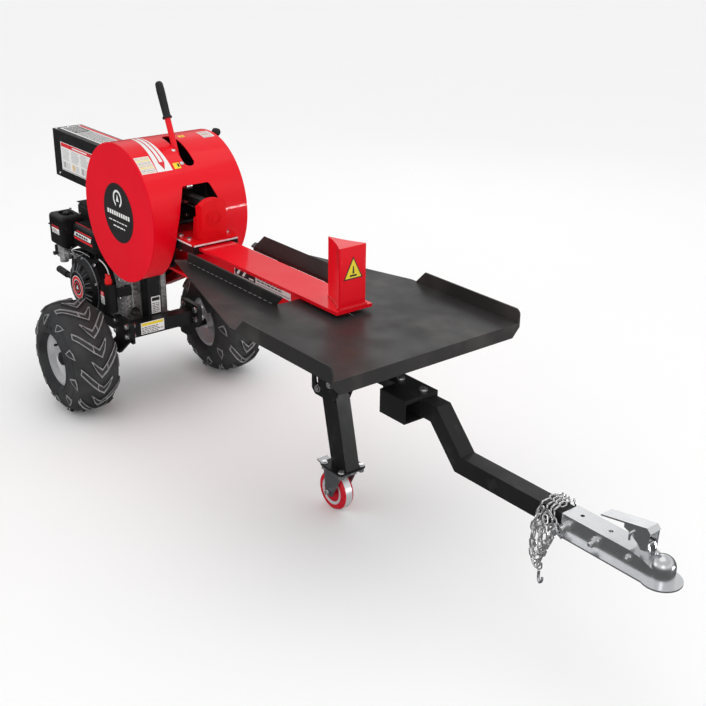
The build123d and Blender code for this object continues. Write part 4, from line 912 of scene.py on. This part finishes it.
# ------------------------------------------------------------------ running gear and coupler
def running_gear():
    tread = Shape()
    centre = at(CASTER[0], 0, CASTER[1])
    tread.lathe([(0.0612, -0.0125), (0.0631, -0.0118), (0.0631, 0.0118), (0.0612, 0.0125)], centre, Y, 64)
    for side in (-1, 1):
        wall = [(0.036, side * 0.0175), (0.045, side * 0.0195), (0.045, side * 0.0206),
                (0.036, side * 0.0188)]
        tread.lathe(wall, centre, Y, 48)
    piece("caster_tread", tread, "caster_roll", SILVER)
    nut = Shape()
    for side in (-1, 1):
        hex_head(nut, at(CASTER[0], side * 0.0362, CASTER[1]), (0, side, 0), 0.012, 0.007)
    piece("caster_nuts", nut, "caster_swivel", BOLT)
    side_bolts = Shape()
    large = [(0, 0), (0.0056, 0), (0.0056, 0.019), (0.0045, 0.021), (0, 0.021)]
    small = [(0, 0), (0.004, 0), (0.004, 0.010), (0, 0.011)]
    for x, z, wide, high, end in ((2.051, 0.393, 0.0195, 0.012, large), (2.137, 0.393, 0.0195, 0.012, large),
                                  (2.232, 0.399, 0.014, 0.007, small)):
        for side in (-1, 1):
            hex_head(side_bolts, at(x, side * 0.0298, z), (0, side, 0), wide, high)
            side_bolts.lathe(end, at(x, side * 0.0298, z), (0, side, 0), 14)
    piece("coupler_side_bolt", side_bolts, "frame", BOLT)
    slits = Shape()
    for side in (-1, 1):
        for k in range(18):
            x = 0.53 + 0.0262 * k
            slits.block(at(x, side * 0.1335 - 0.0008, 0.6598), at(x + 0.015, side * 0.1335 + 0.0008, 0.6603))
    piece("cradle_slits", slits, "frame", BARE)
    knob = Shape()
    knob.lathe([(0, -0.03), (0.004, -0.03), (0.004, 0.0), (0.011, 0.003), (0.0155, 0.010), (0.0155, 0.018),
                (0.011, 0.026), (0, 0.028)],
               at(0.185, 0.197, 0.962), (0, 0.2, 1), 24)
    piece("guard_knob", knob, "frame", GRIP)


running_gear()


# ------------------------------------------------------------------ springs and starter rope
def return_springs():
    turns, around, start, end, size = 72, 10, -0.556, -0.164, 0.0098
    for name, side in (("near", -1), ("far", 1)):
        shape = Shape()
        y, z = side * 0.036, 0.800
        path = [at(-0.577, y, z), at(-0.565, y, z)]
        for k in range(turns * around + 1):
            turn = 2 * math.pi * k / around
            along = start + (end - start) * k / (turns * around)
            path.append(at(along, y + size * math.cos(turn), z + size * math.sin(turn)))
        path += [at(-0.155, y, z), at(0.4505, y, z)]
        shape.tube(path, 0.0016, 6)
        made = piece("return_spring_" + name, shape, None, SPRING,
                     instead_of=("return_springs",) if side < 0 else ())
        at(-0.556, y, z)
        at(-0.164, y, z)
        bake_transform(made)


def starter_rope():
    shape = Shape()
    shape.tube([at(-0.292 - 0.0012 * k, -0.166, 0.388) for k in range(12)], 0.002, 8)
    made = piece("starter_rope", shape, None, WHITE)
    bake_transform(made)


return_springs()
starter_rope()


# ------------------------------------------------------------------ camera
CAMERA_AT = (2.6335, -1.870, 1.818)
CAMERA_AZ, CAMERA_EL, CAMERA_ROLL = (math.radians(a) for a in (51.11, 23.19, 0.67))
back = Vector((
    math.sin(CAMERA_AZ) * math.cos(CAMERA_EL),
    -math.cos(CAMERA_AZ) * math.cos(CAMERA_EL),
    math.sin(CAMERA_EL),
))
camera = bpy.data.objects.new("camera", bpy.data.cameras.new("camera"))
bpy.context.scene.collection.objects.link(camera)
turn = back.to_track_quat("Z", "Y").to_matrix().to_4x4()
camera.matrix_world = Matrix.Translation(CAMERA_AT) @ turn @ Matrix.Rotation(CAMERA_ROLL, 4, "Z")
camera.data.lens = 57.6
camera.data.sensor_width = 36
camera.data.clip_end = 300
bpy.context.scene.camera = camera

# ------------------------------------------------------------------ light and floor
bpy.context.scene.view_settings.view_transform = "Standard"
world = bpy.data.worlds.new("studio")
world.use_nodes = True
tree = world.node_tree
tree.nodes["Background"].inputs["Color"].default_value = (1, 1, 1, 1)
tree.nodes["Background"].inputs["Strength"].default_value = 0.96
mirrored = tree.nodes.new("ShaderNodeBackground")
coords, split = tree.nodes.new("ShaderNodeTexCoord"), tree.nodes.new("ShaderNodeSeparateXYZ")
ramp = tree.nodes.new("ShaderNodeValToRGB")
rays = tree.nodes.new("ShaderNodeLightPath")
join = tree.nodes.new("ShaderNodeMixShader")
ramp.color_ramp.elements[0].color = (0.10, 0.10, 0.10, 1)
ramp.color_ramp.elements[1].color = (0.5, 0.5, 0.5, 1)
for height, shade in ((0.06, 0.16), (0.30, 0.55), (0.45, 0.75), (0.62, 0.5)):
    ramp.color_ramp.elements.new(height).color = (shade, shade, shade, 1)
tree.links.new(coords.outputs["Generated"], split.inputs["Vector"])
tree.links.new(split.outputs["Z"], ramp.inputs["Fac"])
tree.links.new(ramp.outputs["Color"], mirrored.inputs["Color"])
tree.links.new(rays.outputs["Is Glossy Ray"], join.inputs["Fac"])
tree.links.new(tree.nodes["Background"].outputs["Background"], join.inputs[1])
tree.links.new(mirrored.outputs["Background"], join.inputs[2])
tree.links.new(join.outputs["Shader"], tree.nodes["World Output"].inputs["Surface"])
bpy.context.scene.world = world


def softbox(name, place, target, width, height, power):
    """A rectangular studio light that the camera doesn't see."""
    data = bpy.data.lights.new(name, "AREA")
    data.shape = "RECTANGLE"
    data.size = width
    data.size_y = height
    data.energy = power
    lamp = bpy.data.objects.new(name, data)
    bpy.context.scene.collection.objects.link(lamp)
    direction = Vector(target) - Vector(place)
    lamp.matrix_world = Matrix.Translation(place) @ direction.to_track_quat("-Z", "Y").to_matrix().to_4x4()
    lamp.visible_camera = False
    return lamp


softbox("overhead", (0.2, 0.3, 3.6), (0, 0, 0.4), 3.6, 2.6, 14)
softbox("front", (3.4, -2.6, 2.2), (0, 0, 0.5), 1.6, 1.6, 6)
softbox("left", (-1.6, -3.6, 1.9), (-0.6, 0, 0.5), 2.2, 1.4, 8)
softbox("skin_strip", (3.6, 2.0, 0.30), (-0.49, -0.14, 0.77), 1.5, 0.09, 22)
softbox("back", (-2.4, 3.4, 2.4), (0, 0, 0.5), 2.4, 1.4, 6)

floor_mesh = bpy.data.meshes.new("floor")
FLOOR_REACH = 90.0
corners = [(x * FLOOR_REACH, y * FLOOR_REACH, 0) for x, y in ((-1, -1), (1, -1), (1, 1), (-1, 1))]
floor_mesh.from_pydata(corners, [], [(0, 1, 2, 3)])
floor = bpy.data.objects.new("floor", floor_mesh)
bpy.context.scene.collection.objects.link(floor)
floor_mesh.materials.append(material("studio_floor", (0.95, 0.95, 0.95), 0.8, vary=0.004, scale=2, spec=0.05))
floor.visible_glossy = False
